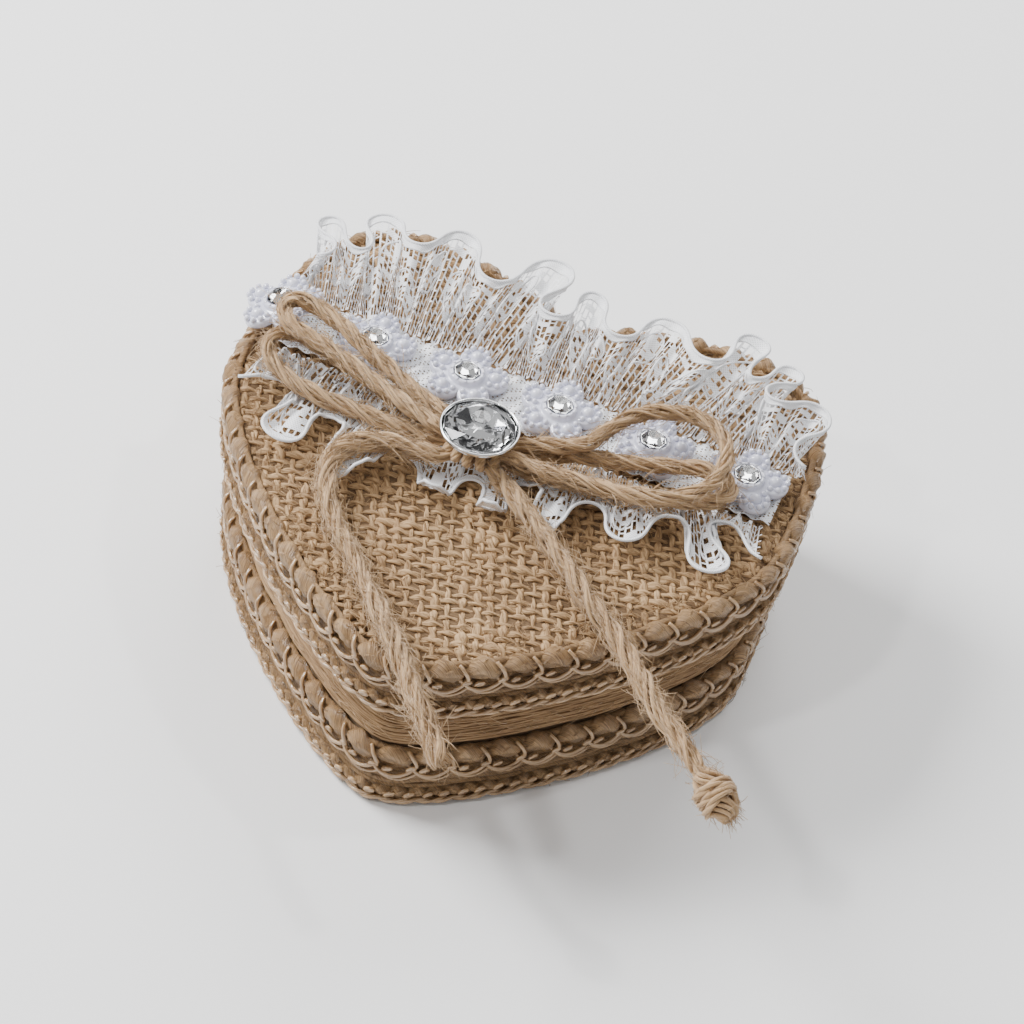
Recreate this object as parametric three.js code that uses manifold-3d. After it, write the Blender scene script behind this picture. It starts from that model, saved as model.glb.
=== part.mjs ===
// Heart-shaped ring box covered in burlap. Its lid lifts off and carries a gathered
// lace trim, a row of pearl flowers and a twine bow with a glass gem at its centre.
// Millimetres, +Z up. The tip of the heart points to -Y and its notch to +Y.
// The origin is at the middle of the footprint, on the surface the box stands on.

import * as THREE from 'three';
import { mergeVertices } from 'three/addons/utils/BufferGeometryUtils.js';
import Module from 'manifold-3d';

const wasm = await Module();
wasm.setup();

// ---------------------------------------------------------------- driving dimensions

const SEAT_GAP = 0.3; // glue line or seat between pieces that rest on each other

// Heart outline of the base wall, outside face.
const HEART_WIDTH = 89.6;
const HEART_LENGTH = 86.6;
const NOTCH_DEPTH = 11.8;
const WIDEST_ABOVE_TIP = 49.2; // distance from the tip to the widest point
const LOBE_TOP_X = 30.6; // where each lobe reaches furthest back
const TIP_ROUNDNESS = 9.4; // the bigger, the blunter the tip
const SIDE_FULLNESS = 17; // bulge of the sides between the tip and the widest point
const SHOULDER_LENGTH = 16; // run of the side beyond the widest point
const SHOULDER_ROUNDNESS = 13.6; // run of the back edge from the lobe top to the shoulder
const BACK_RUN = 9; // run of the back edge from the lobe top towards the notch
const NOTCH_RUN = 8; // run of the lobe edge down into the notch
const NOTCH_ANGLE = 0.5; // half the notch's opening angle, radians
const OUTLINE_STEPS = 12; // points on each of the three curves of half the heart

// Base tray.
const BASE_HEIGHT = 33;
const WALL_THICKNESS = 1.6;
const FLOOR_THICKNESS = 1.6;
const WRAP_THICKNESS = 1.1;

// Lid.
const LID_CLEARANCE = 0.6; // all round, between the lid's skirt and the base wall
const SKIRT_THICKNESS = 1.6;
const SKIRT_HEIGHT = 8.4;
const LID_BOARD_THICKNESS = 1.6;
const BURLAP_THICKNESS = 1.3;

// Braid trim round the base and round the lid.
const BRAID_THICKNESS = 2.7;
const BASE_BRAID_WIDTH = 13.1;
const BASE_BRAID_LIFT = 0.5; // height of its lower edge above the ground
const LID_BRAID_PROUD = 0.5; // how far it stands above the burlap
const LID_BRAID_DROP = 0.2; // how far it hangs below the skirt

// Inside of the box.
const CUSHION_CLEARANCE = 0.8;
const CUSHION_SIDE = 8.2;
const CUSHION_CROWN = 8;
const RIBBON_WIDTH = 4;
const RIBBON_THICKNESS = 0.6;
const RIBBON_REACH = 17; // half its length across the cushion

// Lace.
const LACE_LIFT = 0.3; // above the top edge of the lid's braid
const HEADING_THICKNESS = 0.7;
const HEADING_WIDTH = 12.6;
const LACE_END_INSET = 2; // from the edge of the lid board to the ends of the heading
const FRONT_RUFFLE_DEPTH = 20;
const FRONT_RUFFLE_HEIGHT = 1.5;
const BACK_RUFFLE_NEAR_HEIGHT = 3;
const BACK_RUFFLE_FAR_HEIGHT = 8.5;
const BACK_RUFFLE_BACK_INSET = 5; // from the back of the lid to its standing edge
const BACK_RUFFLE_LEFT_INSET = 1; // from the side of the lid to its left end
const BACK_RUFFLE_RIGHT_OVERHANG = 2.7; // its right end hangs over the side of the lid

// Row of pearl flowers.
const FLOWER_COUNT = 6;
const FLOWER_SPACING = 2.3; // free space between neighbouring flowers
const FIRST_FLOWER_OUTSET = 0.8; // its middle lies this far outside the base wall's widest point
const FLOWER_ROW_Y = 15.5;
const FIRST_FLOWER_LIFT = 1.3; // the first flower rides up over the rim
const FIRST_FLOWER_TILT = 20; // degrees
const PETALS = 5;
const PETAL_RING = 4.5; // from the flower's middle to the middle of a petal
const PETAL_OVERLAP = 0.1; // how far a petal's circle reaches into the next petal's sector
const PETAL_THICKNESS = 1.4;
const PEARL_RADIUS = 1.25;
const BOSS_WALL = 0.8;
const BOSS_HEIGHT = 2.5;
const STONE_DIAMETER = 4;
const STONE_CROWN = 1;
const STONE_PAVILION = 0.6;
const STONE_CLEARANCE = 0.3;

// Gem in its cup, at the middle of the bow.
const BOW_X = -3.9;
const BOW_Y = -1.7;
const GEM_DIAMETER = 12;
const GEM_TABLE = 5;
const GEM_CROWN = 2.6;
const GEM_PAVILION = 1.6;
const CUP_WALL = 0.4;
const CUP_CLEARANCE = 0.3;
const CUP_FOOT_RADIUS = 3.4;

// Twine.
const LOOP_TWINE = 2.7;
const TAIL_TWINE = 3.3;
const TWINE_SIDES = 8;
const KNOT_HALF_LENGTH = 5.6;
const KNOT_HALF_WIDTH = 4.6;
const KNOT_HEIGHT = 4.4;
const END_KNOT_HALF_LENGTH = 4.3;
const END_KNOT_RADIUS = 3.2;

// ---------------------------------------------------------------- heights that follow

const SKIRT_TOP = BASE_HEIGHT;
const SKIRT_BOTTOM = SKIRT_TOP - SKIRT_HEIGHT;
const LID_BOARD_BOTTOM = BASE_HEIGHT + SEAT_GAP;
const BURLAP_BOTTOM = LID_BOARD_BOTTOM + LID_BOARD_THICKNESS + SEAT_GAP;
const BURLAP_TOP = BURLAP_BOTTOM + BURLAP_THICKNESS;
const LID_BRAID_TOP = BURLAP_TOP + LID_BRAID_PROUD;
const LID_BRAID_BOTTOM = SKIRT_BOTTOM - LID_BRAID_DROP;
const BASE_BRAID_TOP = BASE_BRAID_LIFT + BASE_BRAID_WIDTH;
const WRAP_BOTTOM = BASE_BRAID_TOP + SEAT_GAP;
const WRAP_TOP = LID_BRAID_BOTTOM - SEAT_GAP;
const CUSHION_BOTTOM = FLOOR_THICKNESS + SEAT_GAP;
const LACE_BOTTOM = LID_BRAID_TOP + LACE_LIFT;
const FLOWER_BOTTOM = LACE_BOTTOM + HEADING_THICKNESS + SEAT_GAP;
const KNOT_BOTTOM = LACE_BOTTOM + FRONT_RUFFLE_HEIGHT + SEAT_GAP;
const CUP_BOTTOM = KNOT_BOTTOM + KNOT_HEIGHT + SEAT_GAP;

// Flowers stand side by side. The ruffles start just clear of their row and its heading.
const PETAL_RADIUS = PETAL_RING * Math.sin(Math.PI / PETALS) + PETAL_OVERLAP;
const BOSS_RADIUS = STONE_DIAMETER / 2 + STONE_CLEARANCE + BOSS_WALL;
const FLOWER_RADIUS = PETAL_RING + PETAL_RADIUS;
const FLOWER_PITCH = 2 * FLOWER_RADIUS + FLOWER_SPACING;
const FIRST_FLOWER_X = -(HEART_WIDTH / 2 + FIRST_FLOWER_OUTSET);
const RUFFLE_START = Math.max(HEADING_WIDTH / 2, FLOWER_RADIUS) + SEAT_GAP;

// Offsets of the stacked heart outlines from the base wall's outside face.
const SKIRT_INNER = LID_CLEARANCE;
const SKIRT_OUTER = SKIRT_INNER + SKIRT_THICKNESS;
const LID_BRAID_INNER = SKIRT_OUTER + SEAT_GAP;
const LID_BRAID_OUTER = LID_BRAID_INNER + BRAID_THICKNESS;

// Ends and back edge of the lace.
const LACE_HALF_LENGTH = HEART_WIDTH / 2 + SKIRT_OUTER - LACE_END_INSET;
const LID_HALF_WIDTH = HEART_WIDTH / 2 + LID_BRAID_OUTER;
const BACK_RUFFLE_LEFT = BACK_RUFFLE_LEFT_INSET - LID_HALF_WIDTH;
const BACK_RUFFLE_RIGHT = LID_HALF_WIDTH + BACK_RUFFLE_RIGHT_OVERHANG;
const BACK_RUFFLE_REACH = HEART_LENGTH / 2 + LID_BRAID_OUTER - BACK_RUFFLE_BACK_INSET;

// ---------------------------------------------------------------- materials

const finish = (color, roughness, metalness = 0) => {
  return new THREE.MeshStandardMaterial({ color, roughness, metalness });
};
const kraftBoard = finish(0xb58a5c, 0.85);
const juteCloth = finish(0xb8915f, 0.95);
const juteBraid = finish(0xc79f6c, 0.9);
const twineJute = finish(0xbd9764, 0.95);
const whiteLace = finish(0xf2f2f0, 0.8);
const pearlPlastic = finish(0xeef0f6, 0.3);
const clearGlass = finish(0xdfe4e8, 0.05);
const silverMetal = finish(0xc8c9cc, 0.2, 1);
const cottonCloth = finish(0xefe9dc, 0.9);
const satinRibbon = finish(0xf7f5ef, 0.4);

// ---------------------------------------------------------------- heart outline

/** The three curves of the right half of the base wall's outline, from tip to notch. */
function heartCurves() {
  const v = (x, y) => new THREE.Vector2(x, y - HEART_LENGTH / 2);
  const half = HEART_WIDTH / 2;
  const notchY = HEART_LENGTH - NOTCH_DEPTH;
  const side = new THREE.CubicBezierCurve(
    v(0, 0),
    v(TIP_ROUNDNESS, 0),
    v(half, WIDEST_ABOVE_TIP - SIDE_FULLNESS),
    v(half, WIDEST_ABOVE_TIP),
  );
  const shoulder = new THREE.CubicBezierCurve(
    v(half, WIDEST_ABOVE_TIP),
    v(half, WIDEST_ABOVE_TIP + SHOULDER_LENGTH),
    v(LOBE_TOP_X + SHOULDER_ROUNDNESS, HEART_LENGTH),
    v(LOBE_TOP_X, HEART_LENGTH),
  );
  const back = new THREE.CubicBezierCurve(
    v(LOBE_TOP_X, HEART_LENGTH),
    v(LOBE_TOP_X - BACK_RUN, HEART_LENGTH),
    v(NOTCH_RUN * Math.sin(NOTCH_ANGLE), notchY + NOTCH_RUN * Math.cos(NOTCH_ANGLE)),
    v(0, notchY),
  );
  return [side, shoulder, back];
}

/** Points of the right half of the heart, moved out by `grow`, from tip to notch. */
function halfHeart(grow) {
  const points = [];
  let lastNormal = new THREE.Vector2();
  let lastPoint = new THREE.Vector2();
  heartCurves().forEach((curve, index) => {
    for (let i = index === 0 ? 0 : 1; i <= OUTLINE_STEPS; i += 1) {
      const t = i / OUTLINE_STEPS;
      const tangent = curve.getTangent(t);
      lastNormal = new THREE.Vector2(tangent.y, -tangent.x);
      lastPoint = curve.getPoint(t);
      points.push(lastPoint.clone().addScaledVector(lastNormal, grow));
    }
  });
  points[0].x = 0;
  if (grow < 0) {
    // An inward offset turns round the notch on an arc.
    const start = Math.atan2(-lastNormal.y, -lastNormal.x);
    for (const share of [1 / 3, 2 / 3, 1]) {
      const angle = start + (-Math.PI / 2 - start) * share;
      const arm = new THREE.Vector2(Math.cos(angle), Math.sin(angle)).multiplyScalar(-grow);
      points.push(lastPoint.clone().add(arm));
    }
    points[points.length - 1].x = 0;
    return points;
  }
  // An outward offset closes where both lobes meet on the middle line.
  const crossed = points.findIndex((point, i) => i > 0 && point.x <= 0);
  const before = points[crossed - 1];
  const after = points[crossed];
  const share = before.x / (before.x - after.x);
  const kept = points.slice(0, crossed);
  kept.push(new THREE.Vector2(0, before.y + (after.y - before.y) * share));
  return kept;
}

/** The whole heart outline, anticlockwise from the tip, moved out by `grow`. */
function heartOutline(grow) {
  const right = halfHeart(grow);
  const left = right.slice(1, -1).reverse();
  return right.concat(left.map((point) => new THREE.Vector2(-point.x, point.y)));
}

/** A flat heart-shaped board between two heights. */
function heartBoard(grow, bottom, top) {
  const shape = new THREE.Shape(heartOutline(grow));
  const geometry = new THREE.ExtrudeGeometry(shape, { depth: top - bottom, bevelEnabled: false });
  return geometry.translate(0, 0, bottom);
}

/** A heart-shaped band between an inner and an outer offset and two heights. */
function heartBand(inner, outer, bottom, top) {
  const shape = new THREE.Shape(heartOutline(outer));
  shape.holes.push(new THREE.Path(heartOutline(inner).reverse()));
  const geometry = new THREE.ExtrudeGeometry(shape, { depth: top - bottom, bevelEnabled: false });
  return geometry.translate(0, 0, bottom);
}

// ---------------------------------------------------------------- solids from surfaces

/** A geometry with only merged positions, as booleans need. */
function positionsOnly(geometry) {
  const plain = geometry.clone();
  plain.deleteAttribute('normal');
  plain.deleteAttribute('uv');
  return mergeVertices(plain, 1e-4);
}

/** The manifold solid of a closed geometry. */
function toSolid(geometry) {
  const merged = positionsOnly(geometry);
  const triVerts = new Uint32Array(merged.index.array);
  const vertProperties = new Float32Array(merged.attributes.position.array);
  return new wasm.Manifold(new wasm.Mesh({ numProp: 3, vertProperties, triVerts }));
}

/** The geometry of a manifold solid. */
function fromSolid(solid) {
  const mesh = solid.getMesh();
  const geometry = new THREE.BufferGeometry();
  const positions = new Float32Array(mesh.vertProperties);
  geometry.setAttribute('position', new THREE.BufferAttribute(positions, 3));
  geometry.setIndex(new THREE.BufferAttribute(new Uint32Array(mesh.triVerts), 1));
  geometry.computeVertexNormals();
  return geometry;
}

/** Closed rings of points, one above the other, skinned and capped at both ends. */
function loft(rings) {
  const count = rings[0].length;
  const positions = rings.flat().flatMap((point) => [point.x, point.y, point.z]);
  const index = [];
  for (let level = 0; level < rings.length - 1; level += 1) {
    for (let i = 0; i < count; i += 1) {
      const a = level * count + i;
      const b = level * count + ((i + 1) % count);
      index.push(a, b, b + count, a, b + count, a + count);
    }
  }
  const capWith = (ring, offset, flip) => {
    const middle = ring.reduce((sum, point) => sum.add(point), new THREE.Vector3());
    middle.divideScalar(count);
    const centre = positions.length / 3;
    positions.push(middle.x, middle.y, middle.z);
    for (let i = 0; i < count; i += 1) {
      const a = offset + i;
      const b = offset + ((i + 1) % count);
      index.push(...(flip ? [b, a, centre] : [a, b, centre]));
    }
  };
  capWith(rings[0], 0, true);
  capWith(rings[rings.length - 1], (rings.length - 1) * count, false);
  const geometry = new THREE.BufferGeometry();
  geometry.setAttribute('position', new THREE.Float32BufferAttribute(positions, 3));
  geometry.setIndex(index);
  geometry.computeVertexNormals();
  return geometry;
}

/** A turned solid about Z from [radius, height] pairs that start and end on the axis. */
function turned(profile, segments) {
  const points = profile.map(([radius, height]) => new THREE.Vector2(radius, height));
  return new THREE.LatheGeometry(points, segments).rotateX(Math.PI / 2);
}

/** A plain round tube along hand-laid points. */
function twineTube(points, diameter) {
  const curve = new THREE.CatmullRomCurve3(points.map((p) => new THREE.Vector3(...p)));
  const section = new THREE.Shape();
  for (let i = 0; i < TWINE_SIDES; i += 1) {
    const angle = (i / TWINE_SIDES) * Math.PI * 2;
    const x = (Math.cos(angle) * diameter) / 2;
    const y = (Math.sin(angle) * diameter) / 2;
    if (i === 0) section.moveTo(x, y);
    else section.lineTo(x, y);
  }
  const steps = Math.round(curve.getLength() / (1.6 * diameter));
  return new THREE.ExtrudeGeometry(section, { steps, extrudePath: curve, bevelEnabled: false });
}

// ---------------------------------------------------------------- assembly helpers

const box = new THREE.Group();
const base = new THREE.Group();
const lid = new THREE.Group();
box.add(base, lid);

/** Adds a named piece to a group and returns its mesh. */
function piece(group, name, geometry, material) {
  const mesh = new THREE.Mesh(geometry, material);
  mesh.name = name;
  group.add(mesh);
  return mesh;
}

// ---------------------------------------------------------------- base

function buildBase() {
  const floor = heartBoard(-WALL_THICKNESS - SEAT_GAP, 0, FLOOR_THICKNESS);
  piece(base, 'base_floor', floor, kraftBoard);
  piece(base, 'base_wall', heartBand(-WALL_THICKNESS, 0, 0, BASE_HEIGHT), kraftBoard);
  const wrap = heartBand(SEAT_GAP, SEAT_GAP + WRAP_THICKNESS, WRAP_BOTTOM, WRAP_TOP);
  piece(base, 'jute_thread_wrap', wrap, juteCloth);
  const outer = SEAT_GAP + BRAID_THICKNESS;
  const braid = heartBand(SEAT_GAP, outer, BASE_BRAID_LIFT, BASE_BRAID_TOP);
  piece(base, 'base_braid', braid, juteBraid);
}

/** Height of the cushion's crown over the middle line at a distance from the centre. */
function crownHeight(x) {
  const half = HEART_WIDTH / 2 - WALL_THICKNESS - CUSHION_CLEARANCE;
  return CUSHION_BOTTOM + CUSHION_SIDE + CUSHION_CROWN * Math.sqrt(1 - (x / half) ** 2);
}

function buildInside() {
  const outline = heartOutline(-WALL_THICKNESS - CUSHION_CLEARANCE);
  const ring = (scale, z) => {
    return outline.map((point) => new THREE.Vector3(point.x * scale, point.y * scale, z));
  };
  const shoulder = CUSHION_BOTTOM + CUSHION_SIDE;
  const crown = [0.97, 0.88, 0.72, 0.5, 0.25].map((scale) => {
    return ring(scale, shoulder + CUSHION_CROWN * Math.sqrt(1 - scale ** 2));
  });
  const rings = [ring(0.95, CUSHION_BOTTOM), ring(1, CUSHION_BOTTOM + 2), ring(1, shoulder)];
  piece(base, 'ring_cushion', loft(rings.concat(crown)), cottonCloth);

  // The ribbon lies across the crown, sewn down at its middle.
  const strips = [];
  const half = RIBBON_WIDTH / 2;
  for (let share = -1; share <= 1; share += 0.125) {
    const x = share * RIBBON_REACH;
    const under = crownHeight(x) + SEAT_GAP;
    const over = under + RIBBON_THICKNESS;
    strips.push([[-half, under], [-half, over], [half, over], [half, under]].map(([y, z]) => {
      return new THREE.Vector3(x, y, z);
    }));
  }
  const ribbon = loft(strips.reverse());
  piece(base, 'ring_tie_ribbon', ribbon, satinRibbon);
}

// ---------------------------------------------------------------- lid

function buildLid() {
  const skirt = heartBand(SKIRT_INNER, SKIRT_OUTER, SKIRT_BOTTOM, SKIRT_TOP);
  piece(lid, 'lid_skirt', skirt, kraftBoard);
  const boardTop = LID_BOARD_BOTTOM + LID_BOARD_THICKNESS;
  piece(lid, 'lid_board', heartBoard(SKIRT_OUTER, LID_BOARD_BOTTOM, boardTop), kraftBoard);
  piece(lid, 'lid_burlap', heartBoard(SKIRT_OUTER, BURLAP_BOTTOM, BURLAP_TOP), juteCloth);
  const braid = heartBand(LID_BRAID_INNER, LID_BRAID_OUTER, LID_BRAID_BOTTOM, LID_BRAID_TOP);
  piece(lid, 'lid_braid', braid, juteBraid);
}

// ---------------------------------------------------------------- lace

function buildLace() {
  const heading = new THREE.BoxGeometry(2 * LACE_HALF_LENGTH, HEADING_WIDTH, HEADING_THICKNESS);
  heading.translate(0, FLOWER_ROW_Y, LACE_BOTTOM + HEADING_THICKNESS / 2);
  piece(lid, 'lace_heading', heading, whiteLace);

  const nearY = FLOWER_ROW_Y - RUFFLE_START;
  const half = LACE_HALF_LENGTH;
  const frontY = nearY - FRONT_RUFFLE_DEPTH;
  const corner = FRONT_RUFFLE_DEPTH * 0.45; // the lid narrows towards its tip
  const front = new THREE.Shape([
    new THREE.Vector2(-half, nearY),
    new THREE.Vector2(-half, nearY - corner),
    new THREE.Vector2(-half + corner, frontY),
    new THREE.Vector2(half - corner, frontY),
    new THREE.Vector2(half, nearY - corner),
    new THREE.Vector2(half, nearY),
  ]);
  const depth = FRONT_RUFFLE_HEIGHT;
  const frontRuffle = new THREE.ExtrudeGeometry(front, { depth, bevelEnabled: false });
  piece(lid, 'lace_ruffle_front', frontRuffle.translate(0, 0, LACE_BOTTOM), whiteLace);

  // The back ruffle fans out from behind the flowers and rises towards its edge.
  const backY = FLOWER_ROW_Y + RUFFLE_START;
  const shoulder = (BACK_RUFFLE_REACH - backY) * 0.5;
  const back = new THREE.Shape([
    new THREE.Vector2(BACK_RUFFLE_LEFT, backY),
    new THREE.Vector2(BACK_RUFFLE_RIGHT, backY),
    new THREE.Vector2(BACK_RUFFLE_RIGHT - 4, backY + shoulder),
    new THREE.Vector2(LOBE_TOP_X, BACK_RUFFLE_REACH),
    new THREE.Vector2(-LOBE_TOP_X, BACK_RUFFLE_REACH),
    new THREE.Vector2(BACK_RUFFLE_LEFT + 4, backY + shoulder),
  ]);
  const backRuffle = new THREE.ExtrudeGeometry(back, { depth: 1, bevelEnabled: false });
  const rise = (BACK_RUFFLE_FAR_HEIGHT - BACK_RUFFLE_NEAR_HEIGHT) / (BACK_RUFFLE_REACH - backY);
  const places = backRuffle.attributes.position;
  for (let i = 0; i < places.count; i += 1) {
    const height = BACK_RUFFLE_NEAR_HEIGHT + (places.getY(i) - backY) * rise;
    places.setZ(i, LACE_BOTTOM + places.getZ(i) * height);
  }
  backRuffle.computeVertexNormals();
  piece(lid, 'lace_ruffle_back', backRuffle, whiteLace);
}

// ---------------------------------------------------------------- pearl flowers

/** Outline of the flower's plate, the union of its round petals. */
function petalOutline() {
  const points = [];
  const stepsPerPetal = 9;
  const sector = (2 * Math.PI) / PETALS;
  for (let i = 0; i < PETALS * stepsPerPetal; i += 1) {
    const angle = (i / (PETALS * stepsPerPetal)) * 2 * Math.PI;
    const off = angle - Math.round(angle / sector) * sector;
    const across = PETAL_RING * Math.sin(off);
    const radius = PETAL_RING * Math.cos(off) + Math.sqrt(PETAL_RADIUS ** 2 - across ** 2);
    points.push(new THREE.Vector2(radius * Math.cos(angle), radius * Math.sin(angle)));
  }
  return points;
}

/** One moulded flower: petal plate, a pearl on each petal, and a boss with a stone seat. */
function flowerGeometry() {
  const depth = PETAL_THICKNESS;
  const plate = new THREE.ExtrudeGeometry(new THREE.Shape(petalOutline()), {
    depth,
    bevelEnabled: false,
  });
  const seat = STONE_DIAMETER / 2 + STONE_CLEARANCE;
  const seatFloor = BOSS_HEIGHT - STONE_PAVILION - STONE_CLEARANCE;
  const boss = turned(
    [
      [0, 0],
      [BOSS_RADIUS, 0],
      [BOSS_RADIUS, BOSS_HEIGHT - 0.4],
      [BOSS_RADIUS - 0.4, BOSS_HEIGHT],
      [seat, BOSS_HEIGHT],
      [seat, seatFloor],
      [0, seatFloor],
    ],
    16,
  );
  let solid = toSolid(plate).subtract(toSolid(turned([[0, -1], [seat, -1], [seat, 9], [0, 9]], 16)));
  solid = solid.add(toSolid(boss));
  for (let i = 0; i < PETALS; i += 1) {
    const angle = (i / PETALS) * 2 * Math.PI;
    const pearl = new THREE.SphereGeometry(PEARL_RADIUS, 10, 6);
    pearl.translate(PETAL_RING * Math.cos(angle), PETAL_RING * Math.sin(angle), PETAL_THICKNESS);
    solid = solid.add(toSolid(pearl));
  }
  return fromSolid(solid);
}

/** A small faceted stone with its girdle at z = 0. */
function stoneGeometry() {
  const radius = STONE_DIAMETER / 2;
  return turned(
    [
      [0, -STONE_PAVILION],
      [radius * 0.8, -STONE_PAVILION],
      [radius, 0],
      [radius * 0.55, STONE_CROWN],
      [0, STONE_CROWN],
    ],
    12,
  );
}

function buildFlowers() {
  const flower = flowerGeometry();
  const stone = stoneGeometry();
  for (let i = 0; i < FLOWER_COUNT; i += 1) {
    const holder = new THREE.Group();
    const lift = i === 0 ? FIRST_FLOWER_LIFT : 0;
    const tilt = i === 0 ? FIRST_FLOWER_TILT : 0;
    holder.position.set(FIRST_FLOWER_X + i * FLOWER_PITCH, FLOWER_ROW_Y, FLOWER_BOTTOM + lift);
    holder.rotation.set(0, THREE.MathUtils.degToRad(-tilt), Math.PI / 2);
    lid.add(holder);
    piece(holder, `pearl_flower_${i + 1}`, flower, pearlPlastic);
    const gem = piece(holder, `flower_stone_${i + 1}`, stone, clearGlass);
    gem.position.z = BOSS_HEIGHT;
  }
}

// ---------------------------------------------------------------- gem

function buildGem() {
  const girdle = GEM_DIAMETER / 2;
  const rim = girdle + CUP_CLEARANCE + CUP_WALL;
  const girdleZ = CUP_BOTTOM + CUP_WALL + CUP_CLEARANCE + GEM_PAVILION;
  const cup = turned(
    [
      [0, CUP_BOTTOM],
      [CUP_FOOT_RADIUS, CUP_BOTTOM],
      [rim, girdleZ - CUP_WALL],
      [rim, girdleZ + CUP_WALL],
      [rim - CUP_WALL, girdleZ + CUP_WALL],
      [rim - CUP_WALL, girdleZ - CUP_CLEARANCE],
      [CUP_FOOT_RADIUS, CUP_BOTTOM + CUP_WALL],
      [0, CUP_BOTTOM + CUP_WALL],
    ],
    24,
  );
  piece(lid, 'gem_cup', cup, silverMetal).position.set(BOW_X, BOW_Y, 0);
  const stone = turned(
    [
      [0, girdleZ - GEM_PAVILION],
      [CUP_FOOT_RADIUS * 0.8, girdleZ - GEM_PAVILION],
      [girdle, girdleZ],
      [girdle - 0.2, girdleZ + 0.4],
      [GEM_TABLE / 2, girdleZ + GEM_CROWN],
      [0, girdleZ + GEM_CROWN],
    ],
    16,
  );
  piece(lid, 'gem_stone', stone, clearGlass).position.set(BOW_X, BOW_Y, 0);
}

// ---------------------------------------------------------------- bow

// Routes of the twine, hand-laid. Heights are above the burlap.
const LOOP_RIGHT_UPPER = [
  [2.8, 0.8, 6.8], [8.5, 3.1, 7.2], [12.8, 6, 7.8], [15.3, 10, 8.6], [18, 14.2, 9.2],
  [22.6, 17, 9.8], [27.4, 18, 10.2], [31.4, 16.5, 10.2], [34.2, 13.4, 10.1], [35.2, 9.2, 9.8],
  [34.4, 5, 9.4], [32, 1.6, 8.8], [28.2, -0.8, 8.2], [23.5, -2, 7.7], [18.5, -2.4, 7.3],
  [12.8, -2.9, 7], [7.6, -3, 6.8], [3, -2.6, 6.8],
];
const LOOP_RIGHT_LOWER = [
  [2.8, 1.4, 3.9], [7.5, 3.4, 4.2], [12.4, 5.2, 4.8], [19.4, 6.8, 5.5], [28.4, 9.8, 6],
  [33, 11, 6.3], [36.2, 10, 6.3], [37.2, 7.4, 6.1], [35.4, 4.8, 5.8], [31.6, 3.4, 5.3],
  [25.3, 1.8, 4.6], [17.8, 0.6, 4], [10.3, -0.8, 3.9], [3, -1.8, 3.9],
];
const LOOP_LEFT_UPPER = [
  [-10.8, 1.4, 6.8], [-16.5, 3.2, 7.3], [-21.8, 5.1, 7.9], [-30.4, 9, 8.8], [-35.9, 11.2, 9.3],
  [-39.8, 12.2, 9.5], [-42.8, 11.4, 9.5], [-43.4, 8.8, 9.4], [-41.2, 6.2, 9.3], [-35.4, 4.8, 9],
  [-28.4, 2.8, 8.4], [-20.4, 0.6, 7.6], [-10.8, -1.8, 6.8],
];
const LOOP_LEFT_LOWER = [
  [-10.8, 1.4, 3.9], [-18.9, 3, 4.3], [-28.3, 5.2, 5.2], [-36, 6.9, 6], [-40.4, 7.4, 6.2],
  [-43, 5.6, 6.2], [-43.2, 2.6, 5.9], [-41, 0, 5.5], [-37, -1.8, 4.8], [-33, -2.3, 4.3],
  [-28.4, -2.3, 4], [-23, -2.2, 3.9], [-17.6, -2, 3.9], [-10.8, -1.7, 3.9],
];
const TAIL_LEFT = [
  [-8.8, -5.4, 4.1], [-13.4, -6.4, 4.3], [-18.2, -7.6, 4.5], [-22, -10.2, 4.6], [-24.2, -14.6, 4.5],
  [-23, -20, 3.9], [-19, -26, 2.9], [-14, -31, 2.3], [-8.2, -37.2, 2.2], [-3, -43, 2.4],
  [2.5, -49, 2.3], [7.4, -54.8, 1.5], [11.3, -59.2, 0.4], [15, -62.9, -0.9],
];
const TAIL_RIGHT = [
  [1.2, -5.2, 4.1], [4, -7.2, 4.4], [8, -10.4, 4.5], [12, -13.6, 4.4], [17.2, -17.6, 3.8],
  [23.2, -22.2, 2.9], [29.3, -26.8, 2.4], [35, -32.2, 2.4], [40.2, -37.6, 2.3],
  [45, -41.4, 1.7], [48.6, -44, 0.9], [51.4, -45.9, 0.1],
];

/** A knot's plain solid: a ball stretched to the given half sizes. */
function blob(halfX, halfY, halfZ) {
  return new THREE.SphereGeometry(1, 16, 10).scale(halfX, halfY, halfZ);
}

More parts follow.
